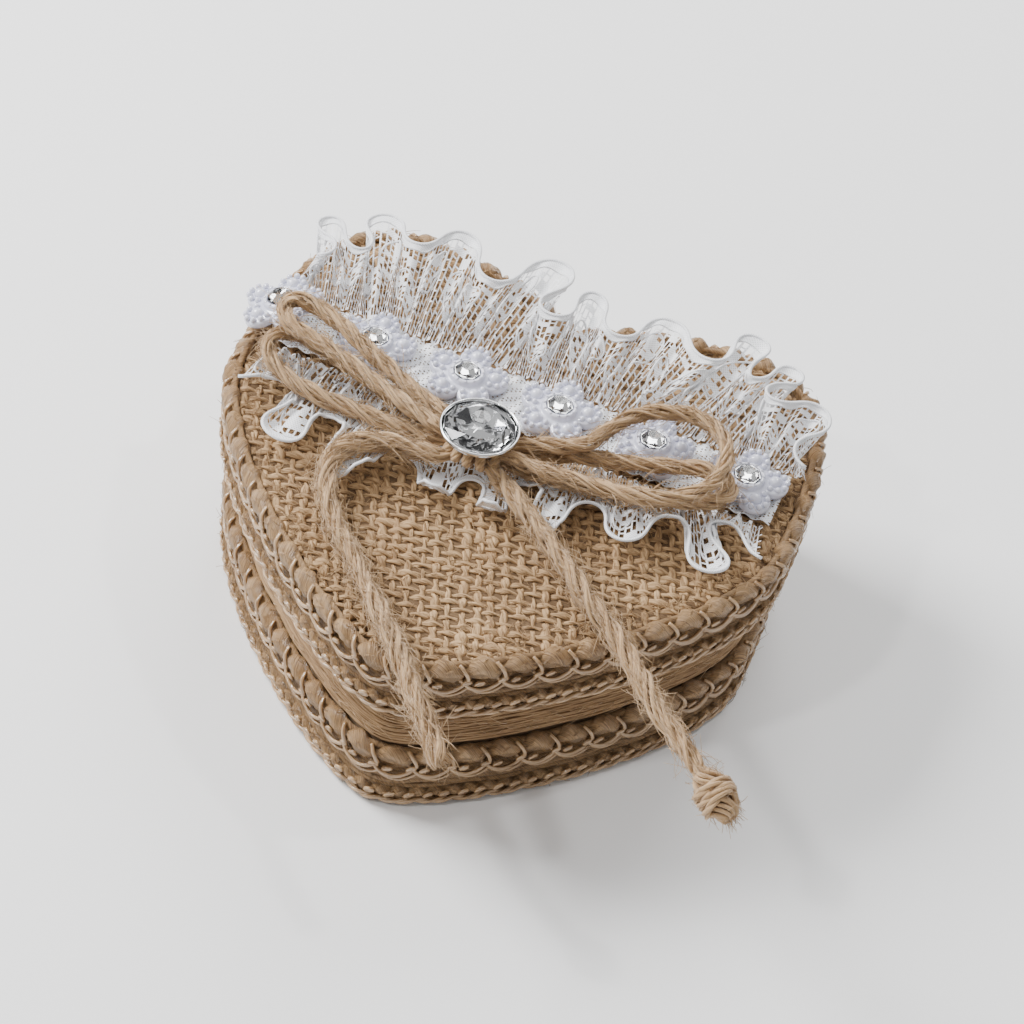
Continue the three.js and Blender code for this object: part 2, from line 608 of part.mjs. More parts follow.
function buildBow() {
  const bow = new THREE.Group();
  bow.position.z = BURLAP_TOP;
  lid.add(bow);
  const knot = blob(KNOT_HALF_LENGTH, KNOT_HALF_WIDTH, KNOT_HEIGHT / 2);
  const knotMesh = piece(bow, 'bow_knot', knot, twineJute);
  knotMesh.position.set(BOW_X, BOW_Y, KNOT_BOTTOM + KNOT_HEIGHT / 2 - BURLAP_TOP);
  const loops = {
    bow_loop_right_upper: LOOP_RIGHT_UPPER,
    bow_loop_right_lower: LOOP_RIGHT_LOWER,
    bow_loop_left_upper: LOOP_LEFT_UPPER,
    bow_loop_left_lower: LOOP_LEFT_LOWER,
  };
  Object.entries(loops).forEach(([name, points]) => {
    piece(bow, name, twineTube(points, LOOP_TWINE), twineJute);
  });
  piece(bow, 'bow_tail_left', twineTube(TAIL_LEFT, TAIL_TWINE), twineJute);
  piece(bow, 'bow_tail_right', twineTube(TAIL_RIGHT, TAIL_TWINE), twineJute);

  // The right tail ends in an overhand knot that follows on from its last stretch.
  const last = new THREE.Vector3(...TAIL_RIGHT[TAIL_RIGHT.length - 1]);
  const before = new THREE.Vector3(...TAIL_RIGHT[TAIL_RIGHT.length - 2]);
  const along = last.clone().sub(before).normalize();
  const endKnot = blob(END_KNOT_HALF_LENGTH, END_KNOT_RADIUS, END_KNOT_RADIUS);
  const endKnotMesh = piece(bow, 'tail_end_knot', endKnot, twineJute);
  endKnotMesh.quaternion.setFromUnitVectors(new THREE.Vector3(1, 0, 0), along);
  const reach = END_KNOT_HALF_LENGTH + 2 * SEAT_GAP;
  endKnotMesh.position.copy(last).addScaledVector(along, reach);
}

buildBase();
buildInside();
buildLid();
buildLace();
buildFlowers();
buildGem();
buildBow();

export default box;
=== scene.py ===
"""Looks of a heart-shaped burlap ring box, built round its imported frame. Metres, +Z up."""

import logging
import math
from dataclasses import dataclass
from enum import Enum
from typing import Callable, Iterable, Optional, Sequence, Tuple

import bpy
import numpy as np
from mathutils import Matrix, Vector
from mathutils.bvhtree import BVHTree


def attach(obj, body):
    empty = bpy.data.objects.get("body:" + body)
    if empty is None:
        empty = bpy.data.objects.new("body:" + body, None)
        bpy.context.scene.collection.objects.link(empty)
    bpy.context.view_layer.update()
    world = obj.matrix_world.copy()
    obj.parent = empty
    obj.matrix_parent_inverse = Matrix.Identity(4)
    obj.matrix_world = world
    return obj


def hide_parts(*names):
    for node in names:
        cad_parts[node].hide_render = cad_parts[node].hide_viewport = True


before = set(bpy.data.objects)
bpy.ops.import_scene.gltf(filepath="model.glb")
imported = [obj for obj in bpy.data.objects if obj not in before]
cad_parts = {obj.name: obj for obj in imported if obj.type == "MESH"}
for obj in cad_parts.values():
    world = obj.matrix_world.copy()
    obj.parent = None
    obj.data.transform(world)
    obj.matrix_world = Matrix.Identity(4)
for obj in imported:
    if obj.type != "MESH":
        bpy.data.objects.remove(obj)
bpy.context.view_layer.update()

log = logging.getLogger("ring_box")
MM = 0.001
TAU = 2 * math.pi
UP = np.array([0.0, 0.0, 1.0])
FIBRE_FLOOR = 0.15 * MM
Colour = Tuple[float, float, float]
Points = Sequence[Sequence[float]]
Array = np.ndarray


class Body(Enum):
    """The two bodies of the box."""

    BASE = "base"
    LID = "lid"


class Slot(Enum):
    """The record's material slots."""

    THREAD = "jute_thread"
    BURLAP = "burlap"
    BRAID = "jute_braid"
    TWINE = "jute_twine"
    LACE = "white_lace"
    COTTON = "cushion_cotton"
    SATIN = "satin_ribbon"
    PEARL = "pearl_plastic"
    CRYSTAL = "clear_crystal"
    SILVER = "silver_cup"


# ------------------------------------------------------------------ curves and meshes


def unit(vectors: Array) -> Array:
    """Vectors scaled to length one."""
    return vectors / np.maximum(np.linalg.norm(vectors, axis=-1, keepdims=True), 1e-12)


def lift3(flat: Array, height: float) -> Array:
    """Plan points given a height."""
    return np.column_stack([flat, np.full(len(flat), height)])


def metres(points: Points) -> Array:
    """Points from millimetres to metres."""
    return np.array([[c * MM for c in p] for p in points])


def turned(angle, across: Array, up: Array) -> Array:
    """Directions at angles round a line, from its two axes."""
    return np.cos(angle)[..., None] * across + np.sin(angle)[..., None] * up


def smooth_line(points: Points, per_span: int = 12) -> Array:
    """A centripetal Catmull-Rom line through points.

    Args:
        points: points in metres.
        per_span: samples on each stretch between two points.

    Returns:
        The sampled line, ends included.
    """
    given = np.asarray(points, float)
    pts = np.vstack([2 * given[0] - given[1], given, 2 * given[-1] - given[-2]])
    t = np.linspace(0, 1, per_span, endpoint=False)[:, None]
    line = []
    for i in range(1, len(pts) - 2):
        p0, p1, p2, p3 = pts[i - 1 : i + 3]
        d0, d1, d2 = (max(np.linalg.norm(b - a), 1e-9) ** 0.5 for a, b in ((p0, p1), (p1, p2), (p2, p3)))
        m1 = ((p1 - p0) / d0 - (p2 - p0) / (d0 + d1) + (p2 - p1) / d1) * d1
        m2 = ((p2 - p1) / d1 - (p3 - p1) / (d1 + d2) + (p3 - p2) / d2) * d1
        line.append((2 * t**3 - 3 * t**2 + 1) * p1 + (t**3 - 2 * t**2 + t) * m1
                    + (3 * t**2 - 2 * t**3) * p2 + (t**3 - t**2) * m2)
    return np.vstack([*line, pts[-2][None]])


def arc_lengths(line: Array) -> Array:
    """Distance along a line at each of its points."""
    return np.concatenate([[0.0], np.cumsum(np.linalg.norm(np.diff(line, axis=0), axis=1))])


def read_line(line: Array, arc: Array, marks: Array) -> Array:
    """Places on a line, whose points lie at distances arc, at the distances marks."""
    return np.column_stack([np.interp(marks, arc, line[:, k]) for k in range(line.shape[1])])


def respaced(line: Array, step: float) -> Array:
    """The same line with evenly spaced points about `step` apart."""
    arc = arc_lengths(line)
    return read_line(line, arc, np.linspace(0, arc[-1], max(3, int(round(arc[-1] / step)) + 1)))


def carried_frames(line: Array) -> Tuple[Array, Array, Array]:
    """Tangents, normals and binormals carried along a line without twist."""
    tangents = unit(np.gradient(line, axis=0))
    normals = np.zeros_like(line)
    normal = np.cross(tangents[0], UP)
    if np.linalg.norm(normal) < 1e-3:
        normal = np.array([1.0, 0.0, 0.0])
    for i, tangent in enumerate(tangents):
        normal = unit(normal - tangent * np.dot(normal, tangent))
        normals[i] = normal
    return tangents, normals, np.cross(tangents, normals)


class Stock:
    """Gathers points, faces and yarn marks, and turns them into one mesh.

    A yarn mark is (distance along, distance around, strand number) in millimetres.
    """

    def __init__(self) -> None:
        """Starts empty."""
        self.points: list = []
        self.marks: list = []
        self.faces: list = []
        self.sizes: list = []
        self.count = 0

    def add(self, points: Array, faces: Iterable[Array], marks: Optional[Array] = None) -> None:
        """Adds points and arrays of faces, each array with faces of one size."""
        self.points.append(points)
        self.marks.append(points / MM if marks is None else marks)
        for block in faces:
            self.faces.append((block + self.count).ravel())
            self.sizes.append(np.full(len(block), block.shape[1]))
        self.count += len(points)

    def skin(self, rings: Array, closed: bool = False, marks: Optional[Array] = None) -> None:
        """Skins rings of points one after another, capped unless they close on themselves."""
        levels, count = rings.shape[:2]
        j = np.arange(count)
        i = np.arange(levels if closed else levels - 1)[:, None]
        low, high, k = i * count, (i + 1) % levels * count, (j + 1) % count
        faces = [np.stack([low + j, low + k, high + k, high + j], -1).reshape(-1, 4)]
        if not closed:
            faces += [j[::-1][None], (j + (levels - 1) * count)[None]]
        self.add(rings.reshape(-1, 3), faces, marks)

    def tube(self, line: Array, radius, sides: int = 6, closed: bool = False, axes=None, strand: float = 0.0,
             flat: float = 1.0) -> None:
        """Sweeps a round or flattened section along a line.

        Args:
            line: the centre line.
            radius: one radius, one for each point, or one for each point and side.
            sides: sides of the section.
            closed: whether the line runs back into its start.
            axes: the section's two axes at each point, carried along if not given.
            strand: the strand number in the yarn marks.
            flat: how much thinner the section is along its second axis.
        """
        n = len(line)
        across, up = carried_frames(line)[1:] if axes is None else axes
        wide = np.asarray(radius, float)
        if wide.ndim < 2:
            wide = np.broadcast_to(wide.reshape(-1, 1), (n, sides))
        angles = np.arange(sides) / sides * TAU
        rings = line[:, None] + (wide * np.cos(angles))[..., None] * across[:, None]
        rings = rings + (flat * wide * np.sin(angles))[..., None] * up[:, None]
        along = np.repeat(arc_lengths(line), sides) / MM
        around = np.tile(angles, n) * float(np.mean(wide)) / MM
        self.skin(rings, closed, np.column_stack([along, around, np.full(n * sides, strand)]))

    def ball(self, centre: Array, radius: float, rows: int, cols: int) -> None:
        """Adds a ball."""
        tilt = np.linspace(0.12 - math.pi / 2, math.pi / 2 - 0.12, rows)[:, None]
        turn = np.arange(cols) / cols * TAU
        rings = [np.cos(tilt) * np.cos(turn), np.cos(tilt) * np.sin(turn), np.sin(tilt) + 0 * turn]
        self.skin(centre + np.stack(rings, -1) * radius)

    def facets(self, rings: Sequence[Array]) -> None:
        """Joins rings of facet corners with triangles, and caps both ends."""
        count = len(rings[0])
        faces = []
        for level in range(len(rings) - 1):
            for i in range(count):
                a, b = level * count + i, level * count + (i + 1) % count
                faces += [(a, b, b + count), (a, b + count, a + count)]
        ends = np.array([np.arange(count)[::-1], np.arange(count) + (len(rings) - 1) * count])
        self.add(np.vstack(rings), [np.array(faces), ends])

    def net(self, points: Array, kept: Array, marks: Optional[Array] = None) -> None:
        """Adds the kept cells of a grid of points, without the points that no cell uses."""
        count = kept.shape[1] + 1
        a = (np.arange(kept.shape[0])[:, None] * count + np.arange(kept.shape[1]))[kept]
        faces = np.stack([a, a + count, a + count + 1, a + 1], -1)
        used = np.zeros(len(points), bool)
        used[faces.ravel()] = True
        self.add(points[used], [(np.cumsum(used) - 1)[faces]], None if marks is None else marks[used])

    def object(self, name: str, body: Body, slot: Slot, material, smooth: bool = True, replaces: str = ""):
        """The finished piece, riding on its body and standing for a node of the frame."""
        mesh = bpy.data.meshes.new(name)
        points = np.concatenate(self.points)
        sizes = np.concatenate(self.sizes)
        corners = np.concatenate(self.faces)
        mesh.vertices.add(len(points))
        mesh.vertices.foreach_set("co", points.astype(np.float32).ravel())
        mesh.loops.add(len(corners))
        mesh.loops.foreach_set("vertex_index", corners.astype(np.int32))
        mesh.polygons.add(len(sizes))
        mesh.polygons.foreach_set("loop_start", (np.cumsum(sizes) - sizes).astype(np.int32))
        mesh.polygons.foreach_set("use_smooth", np.full(len(sizes), smooth))
        marks = mesh.attributes.new("yarn", "FLOAT_VECTOR", "POINT")
        marks.data.foreach_set("vector", np.concatenate(self.marks).astype(np.float32).ravel())
        mesh.update(calc_edges=True)
        mesh.validate()
        piece = bpy.data.objects.new(name, mesh)
        bpy.context.scene.collection.objects.link(piece)
        mesh.materials.append(material)
        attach(piece, body.value)
        if replaces:
            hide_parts(replaces)
        log.info("%s: %d points, %d faces", name, len(points), len(sizes))
        return piece


def stray_fibre(stock: Stock, rng, root: Array, way: Array, length: float, droop: Array) -> None:
    """Adds one thin curled fibre.

    Args:
        stock: where the mesh gathers.
        rng: the seeded source of random numbers.
        root: where the fibre starts.
        way: its first direction.
        length: its length.
        droop: the direction that it bends away from.
    """
    t = np.linspace(0, 1, 4)[:, None]
    curl = rng.normal(0, 0.25, 3) * length
    line = root + way * t * length + curl * t**2 - droop * length * 0.35 * t**2
    line[:, 2] = np.maximum(line[:, 2], FIBRE_FLOOR)
    width = rng.uniform(0.045, 0.085) * MM
    stock.tube(line, width * np.linspace(1, 0.5, 4), 3, strand=rng.uniform(0, 90))


# ------------------------------------------------------------------ heart outline


@dataclass(frozen=True)
class Heart:
    """The heart outline of the base wall's outside face."""

    width: float = 89.6 * MM
    length: float = 86.6 * MM
    notch_depth: float = 11.8 * MM
    widest_above_tip: float = 49.2 * MM
    lobe_top: float = 30.6 * MM
    tip_roundness: float = 9.4 * MM
    side_fullness: float = 17 * MM
    shoulder_length: float = 16 * MM
    shoulder_roundness: float = 13.6 * MM
    back_run: float = 9 * MM
    notch_run: float = 8 * MM
    notch_angle: float = 0.5
    steps: int = 48

    def half(self, grow: float) -> Array:
        """The right half from tip to notch, moved out by `grow`."""
        w, length, widest, top = self.width / 2, self.length, self.widest_above_tip, self.lobe_top
        notch, angle = length - self.notch_depth, self.notch_angle
        curves = (
            ((0, 0), (self.tip_roundness, 0), (w, widest - self.side_fullness), (w, widest)),
            ((w, widest), (w, widest + self.shoulder_length), (top + self.shoulder_roundness, length),
             (top, length)),
            ((top, length), (top - self.back_run, length),
             (self.notch_run * math.sin(angle), notch + self.notch_run * math.cos(angle)), (0, notch)),
        )
        t = np.linspace(0, 1, self.steps + 1)[:, None]
        found = []
        for number, curve in enumerate(curves):
            a, b, c, d = (np.array(p, float) for p in curve)
            place = (1 - t) ** 3 * a + 3 * (1 - t) ** 2 * t * b + 3 * (1 - t) * t**2 * c + t**3 * d
            way = 3 * (1 - t) ** 2 * (b - a) + 6 * (1 - t) * t * (c - b) + 3 * t**2 * (d - c)
            out = unit(np.column_stack([way[:, 1], -way[:, 0]]))
            found.append((place + out * grow)[min(number, 1) :])
        points = np.vstack(found) - [0, length / 2]
        points[0, 0] = 0
        if grow >= 0:
            crossed = int(np.argmax(points[1:, 0] <= 0)) + 1
            before, after = points[crossed - 1], points[crossed]
            share = before[0] / max(before[0] - after[0], 1e-9)
            points = np.vstack([points[:crossed], before + (after - before) * share])
        else:
            start = math.atan2(-out[-1, 1], -out[-1, 0])
            turn = start + (-math.pi / 2 - start) * np.array([0.25, 0.5, 0.75, 1])
            arms = np.column_stack([np.cos(turn), np.sin(turn)]) * -grow
            points = np.vstack([points, arms + [0, notch - length / 2]])
        points[-1, 0] = 0
        return points

    def outline(self, grow: float, step: float) -> Array:
        """The whole outline, anticlockwise from the tip, without a repeated end point."""
        right = self.half(grow)
        return respaced(np.vstack([right, right[-2:0:-1] * [-1, 1], right[:1]]), step)[:-1]

    def spans(self, grow: float, point: Array, way: Array) -> list:
        """The stretches of a straight line that lie inside the outline, as (start, end)."""
        loop = self.outline(grow, 1.0 * MM)
        off = (loop - point) @ np.array([-way[1], way[0]])
        cut = np.nonzero((off > 0) != (np.roll(off, -1) > 0))[0]
        share = off[cut] / (off[cut] - np.roll(off, -1)[cut])
        hits = loop[cut] + (np.roll(loop, -1, 0)[cut] - loop[cut]) * share[:, None]
        marks = np.sort((hits - point) @ way)
        return [(marks[i], marks[i + 1]) for i in range(0, len(marks) - 1, 2)]


HEART = Heart()


class RimTrack:
    """Places round a heart outline by distance along it, distance out and height."""

    def __init__(self, grow: float, step: float = 0.5 * MM, blur: int = 5) -> None:
        """Reads the outline moved out by `grow`, with its outward directions smoothed."""
        loop = HEART.outline(grow, step)
        self.length = float(np.linalg.norm(np.roll(loop, -1, 0) - loop, axis=1).sum())
        way = np.roll(loop, -1, 0) - np.roll(loop, 1, 0)
        out = unit(np.column_stack([way[:, 1], -way[:, 0]]))
        for _ in range(blur):
            out = unit(out + np.roll(out, 1, 0) + np.roll(out, -1, 0))
        self.arc = np.arange(len(loop) + 1) / len(loop) * self.length
        self.loop = np.vstack([loop, loop[:1]])
        self.out = np.vstack([out, out[:1]])

    def axes(self, along: Array) -> Tuple[Array, Array]:
        """Outward and upward axes at distances along."""
        normal = unit(read_line(self.out, self.arc, np.mod(along, self.length)))
        return lift3(normal, 0.0), np.tile(UP, (len(along), 1))

    def at(self, along: Array, out: Array, height: Array) -> Array:
        """The points at the given distances along and out, and heights."""
        base = read_line(self.loop, self.arc, np.mod(along, self.length))
        plan = base + self.axes(along)[0][:, :2] * np.broadcast_to(out, len(base))[:, None]
        return np.column_stack([plan, np.broadcast_to(height, len(base))])

    def wave(self, s: Array, rng, low: int, high: int, lag: bool = True) -> Array:
        """A random whole number of sine waves round the outline."""
        turns = rng.integers(low, high)
        return np.sin(TAU * s / self.length * turns + (rng.uniform(0, TAU) if lag else 0))

    def hair(self, stock: Stock, rng, out: float, span: Tuple[float, float], stand: float, slant: float,
             reach: float, droop: float) -> None:
        """Adds one loose fibre somewhere round the outline.

        Args:
            stock: where the mesh gathers.
            rng: the seeded source of random numbers.
            out: distance of its root from the track.
            span: lowest and highest place of the root.
            stand: how far it may point outward.
            slant: spread of its up and down slope.
            reach: its greatest length in millimetres.
            droop: how much it bends back.
        """
        at = np.array([rng.uniform(0, self.length)])
        outward = self.axes(at)[0][0]
        root = self.at(at, out, rng.uniform(*span))[0]
        way = np.cross(UP, outward) * rng.choice([-1, 1]) + outward * rng.uniform(0.1, stand)
        way = way + UP * rng.normal(0, slant)
        stray_fibre(stock, rng, root, unit(way), rng.uniform(1.0, reach) * MM, outward * droop)


# ------------------------------------------------------------------ shader groups


class Wiring:
    """Short ways to lay and link shader nodes in one tree."""

    def __init__(self, tree) -> None:
        """Takes the tree to lay nodes in."""
        self.tree = tree
        self.place = None

    def put(self, socket, value) -> None:
        """Links a socket to an output, or sets its number or colour."""
        if isinstance(value, bpy.types.NodeSocket):
            self.tree.links.new(value, socket)
        elif socket.type == "RGBA":
            socket.default_value = (*value, 1)
        else:
            socket.default_value = value

    def set(self, node, **values) -> None:
        """Keys that start with a capital are inputs, with _ for a space; others are settings."""
        for key, value in values.items():
            if key[0].isupper():
                self.put(node.inputs[key.replace("_", " ")], value)
            else:
                setattr(node, key, value)

    def add(self, kind: str, **values):
        """A new node with its inputs and settings; its first output is its result."""
        node = self.tree.nodes.new(f"ShaderNode{kind}")
        self.set(node, **values)
        return node

    def math(self, operation: str, *given, clamp: bool = False):
        """The output of a Math node whose inputs are sockets or numbers."""
        node = self.add("Math", operation=operation, use_clamp=clamp)
        for place, value in enumerate(given):
            self.put(node.inputs[place], value)
        return node.outputs[0]

    def mix(self, share, first, second):
        """The colour between two colours or colour sockets."""
        node = self.add("Mix", data_type="RGBA", Factor=share)
        self.put(node.inputs[6], first)
        self.put(node.inputs[7], second)
        return node.outputs[2]

    def ramp(self, value, low: float, high: float):
        """A value stretched so that low becomes 0 and high becomes 1."""
        return self.add("MapRange", clamp=True, Value=value, From_Min=low, From_Max=high).outputs["Result"]

    def drift(self, scale: float):
        """Slow drift of shade over the object."""
        if self.place is None:
            self.place = self.add("TexCoord").outputs["Object"]
        return self.add("Group", node_tree=Effect.patches(), Place=self.place, Scale=scale).outputs["Shade"]

    def bump(self, height, strength: float, distance: float):
        """A normal bent by a height."""
        return self.add("Bump", Strength=strength, Distance=distance, Height=height).outputs[0]


class Effect:
    """Shader node groups shared by finishes, each built once."""

    made: dict = {}

    @classmethod
    def group(cls, name: str, inputs: dict, outputs: Sequence[str], fill: Callable):
        """The node group of that name, built by `fill` the first time.

        Args:
            name: the group's name.
            inputs: socket name to default number, or None for a vector.
            outputs: names of the value outputs.
            fill: called with the wiring and the inputs, returns the values of the outputs.

        Returns:
            The node tree.
        """
        if name not in cls.made:
            tree = bpy.data.node_groups.new(name, "ShaderNodeTree")
            for key, value in inputs.items():
                kind = "NodeSocketVector" if value is None else "NodeSocketFloat"
                socket = tree.interface.new_socket(key, in_out="INPUT", socket_type=kind)
                if value is not None:
                    socket.default_value = value
            for key in outputs:
                tree.interface.new_socket(key, in_out="OUTPUT", socket_type="NodeSocketFloat")
            wiring = Wiring(tree)
            given, result = tree.nodes.new("NodeGroupInput"), tree.nodes.new("NodeGroupOutput")
            wiring.set(result, **dict(zip(outputs, fill(wiring, given.outputs))))
            cls.made[name] = tree
        return cls.made[name]

    @classmethod
    def fibre_grain(cls):
        """Fine fibres along a yarn, from its yarn marks, and one shade for each strand."""

        def fill(w: Wiring, given) -> tuple:
            """Lays the nodes."""
            along, around, strand = w.add("SeparateXYZ", Vector=given["Marks"]).outputs
            twist = w.math("MULTIPLY_ADD", along, given["Twist"], around)
            place = w.add("CombineXYZ", X=w.math("MULTIPLY", along, given["Along"]),
                          Y=w.math("MULTIPLY", twist, given["Across"]), Z=w.math("MULTIPLY", strand, 3.7))
            noise = w.add("TexNoise", Scale=1.0, Detail=3.0, Roughness=0.65, Vector=place.outputs[0])
            single = w.add("TexWhiteNoise", noise_dimensions="1D", W=strand)
            return w.ramp(noise.outputs[0], 0.33, 0.67), single.outputs["Value"]

        inputs = {"Marks": None, "Along": 0.35, "Across": 5.0, "Twist": 0.0}
        return cls.group("fibre_grain", inputs, ("Streaks", "Strand"), fill)

    @classmethod
    def patches(cls):
        """Slow drift of shade over a surface."""

        def fill(w: Wiring, given) -> tuple:
            """Lays the nodes."""
            noise = w.add("TexNoise", Detail=4.0, Roughness=0.6, Vector=given["Place"], Scale=given["Scale"])
            return (w.ramp(noise.outputs[0], 0.3, 0.7),)

        return cls.group("patches", {"Place": None, "Scale": 60.0}, ("Shade",), fill)

    @classmethod
    def plain_weave(cls):
        """Fine over-and-under weave from a place in millimetres."""

        def fill(w: Wiring, given) -> tuple:
            """Lays the nodes."""
            split = w.add("SeparateXYZ", Vector=given["Place"]).outputs
            waves = [w.math("SINE", w.math("MULTIPLY", split[axis], given["Threads"])) for axis in (0, 1)]
            return (w.math("MULTIPLY_ADD", w.math("MULTIPLY", *waves), 0.5, 0.5),)

        return cls.group("plain_weave", {"Place": None, "Threads": 9.0}, ("Height",), fill)


# ------------------------------------------------------------------ finishes


@dataclass(frozen=True)
class Finish:
    """A material on a principled shader, wired by each kind of finish."""

    name: str

    def wire(self, w: Wiring) -> dict:
        """Lays the nodes and returns the shader's inputs."""
        raise NotImplementedError

    def material(self):
        """Builds the material."""
        made = bpy.data.materials.new(self.name)
        made.use_nodes = True
        wiring = Wiring(made.node_tree)
        wiring.set(made.node_tree.nodes["Principled BSDF"], **self.wire(wiring))
        return made


@dataclass(frozen=True)
class JuteFinish(Finish):
    """Jute fibre, from dull thread to glossy braid."""

    light: Colour
    middle: Colour
    dark: Colour
    across: float = 5.0
    twist: float = 0.0
    roughness: float = 0.75
    specular: float = 0.35
    bump: float = 0.5
    sheen: float = 0.0
    along: float = 0.3

    def wire(self, w: Wiring) -> dict:
        """Lays streaks along the yarn over a slow drift of shade, with painted shade in the low streaks."""
        marks = w.add("Attribute", attribute_name="yarn").outputs["Vector"]
        grain = w.add("Group", node_tree=Effect.fibre_grain(), Along=self.along, Across=self.across,
                      Twist=self.twist, Marks=marks).outputs
        drift = w.drift(90.0)
        body = w.mix(drift, self.middle, self.light)
        share = w.math("MULTIPLY_ADD", grain["Strand"], 0.45, 0.35)
        body = w.mix(w.math("MULTIPLY", grain["Streaks"], share), body, self.light)
        # Fibre grain that is also painted shade: darker where the streaks, and so the bump, sink low.
        depth = w.math("POWER", w.math("SUBTRACT", 1.0, grain["Streaks"]), 1.7)
        return dict(
            Base_Color=w.mix(w.math("MULTIPLY", depth, 0.85), body, self.dark),
            Roughness=w.math("MULTIPLY_ADD", drift, 0.15, self.roughness - 0.07),
            Specular_IOR_Level=self.specular, Sheen_Weight=self.sheen,
            Normal=w.bump(grain["Streaks"], self.bump, 0.25 * MM),
        )


@dataclass(frozen=True)
class BoardFinish(Finish):
    """Brown kraft board with pale flecks."""

    light: Colour = (0.40, 0.27, 0.16)
    dark: Colour = (0.27, 0.17, 0.095)
    flecks: Colour = (0.52, 0.37, 0.23)

    def wire(self, w: Wiring) -> dict:
        """Lays flecks over a slow drift of shade."""
        drift, fleck = w.drift(220.0), w.drift(1500.0)
        base = w.mix(drift, self.dark, self.light)
        return dict(
            Base_Color=w.mix(w.math("MULTIPLY", fleck, 0.35), base, self.flecks),
            Roughness=w.math("MULTIPLY_ADD", fleck, 0.12, 0.78), Normal=w.bump(fleck, 0.25, 0.1 * MM),
        )


@dataclass(frozen=True)
class LaceFinish(Finish):
    """White knitted lace yarn, open between its threads."""

    shade: Colour = (0.74, 0.75, 0.78)
    bright: Colour = (0.93, 0.935, 0.95)

    def wire(self, w: Wiring) -> dict:
        """Lays a fine weave that shades, bends and opens the surface."""
        marks = w.add("Attribute", attribute_name="yarn").outputs["Vector"]
        weave = w.add("Group", node_tree=Effect.plain_weave(), Threads=14.0, Place=marks).outputs["Height"]
        drift = w.drift(400.0)
        share = w.math("MULTIPLY_ADD", weave, 0.5, 0.25)
        share = w.math("MULTIPLY_ADD", drift, 0.35, share, clamp=True)
        return dict(
            Base_Color=w.mix(share, self.shade, self.bright),
            Roughness=w.math("MULTIPLY_ADD", drift, 0.15, 0.5), Sheen_Weight=0.3, Subsurface_Weight=0.15,
            Subsurface_Radius=(0.0015, 0.0015, 0.0015), Normal=w.bump(weave, 0.35, 0.12 * MM),
            Alpha=w.ramp(weave, -0.75, 0.5),
        )


@dataclass(frozen=True)
class PearlFinish(Finish):
    """Pearly moulded plastic."""

    cool_edge_shade: Colour = (0.34, 0.36, 0.50)
    warm: Colour = (0.70, 0.70, 0.79)

    def wire(self, w: Wiring) -> dict:
        """Lays a cool, darker colour at glancing angles, painted shade round each bead, under a clear coat.
        """
        drift = w.drift(350.0)
        facing = w.add("LayerWeight", Blend=0.35).outputs["Facing"]
        # Bluish pearl tone at glancing angles, dark enough to paint the shade between the beads.
        share = w.math("MULTIPLY_ADD", facing, -0.6, 0.85)
        share = w.math("MULTIPLY_ADD", drift, 0.2, share, clamp=True)
        return dict(
            Base_Color=w.mix(share, self.cool_edge_shade, self.warm),
            Roughness=w.math("MULTIPLY_ADD", drift, 0.08, 0.22),
            Coat_Weight=1.0, Coat_Roughness=0.04, Subsurface_Weight=0.05,
            Subsurface_Radius=(0.001, 0.001, 0.001), Normal=w.bump(drift, 0.06, 0.1 * MM),
        )


@dataclass(frozen=True)
class MetalFinish(Finish):
    """Bright plated metal or mirror foil."""

    colour: Colour = (0.86, 0.87, 0.88)
    worn: Colour = (0.62, 0.62, 0.62)
    roughness: float = 0.12

    def wire(self, w: Wiring) -> dict:
        """Lays a slow drift of colour and polish."""
        drift = w.drift(500.0)
        return dict(Base_Color=w.mix(w.math("MULTIPLY", drift, 0.5), self.colour, self.worn),
                    Roughness=w.math("MULTIPLY_ADD", drift, 0.08, self.roughness), Metallic=1.0)


@dataclass(frozen=True)
class CrystalFinish(Finish):
    """Clear cut glass."""

    tint: Colour = (0.95, 0.97, 1.0)

    def wire(self, w: Wiring) -> dict:
        """Lays a trace of colour in clear glass."""
        share = w.math("MULTIPLY", w.drift(300.0), 0.4)
        return dict(Base_Color=w.mix(share, (1.0, 1.0, 1.0), self.tint), Roughness=0.0, IOR=1.52,
                    Transmission_Weight=1.0)


@dataclass(frozen=True)
class ClothFinish(Finish):
    """Plainly woven cotton or satin."""

    light: Colour
    dark: Colour
    threads: float
    roughness: float
    sheen: float

    def wire(self, w: Wiring) -> dict:
        """Lays the weave over a slow drift of shade, with painted shade on the weave's low threads."""
        drift = w.drift(150.0)
        grow = w.add("VectorMath", operation="SCALE", Scale=1 / MM)
        w.put(grow.inputs[0], w.place)
        weave = w.add("Group", node_tree=Effect.plain_weave(), Threads=self.threads, Place=grow.outputs[0])
        height = weave.outputs["Height"]
        # Low threads of the weave darker, high ones lighter: painted shade in the weave's hollows.
        share = w.math("MULTIPLY_ADD", height, 0.4, 0.3)
        share = w.math("MULTIPLY_ADD", drift, 0.3, share, clamp=True)
        return dict(
            Base_Color=w.mix(share, self.dark, self.light), Sheen_Weight=self.sheen,
            Roughness=w.math("MULTIPLY_ADD", drift, 0.1, self.roughness),
            Normal=w.bump(height, 0.35, 0.15 * MM),
        )


@dataclass(frozen=True)
class PaperFinish(Finish):
    """Matt paper of the studio floor."""

    def wire(self, w: Wiring) -> dict:
        """Lays two pale shades."""
        return dict(Base_Color=w.mix(w.drift(3.0), (0.9, 0.9, 0.9), (0.93, 0.93, 0.93)), Roughness=0.9)


# ------------------------------------------------------------------ studio


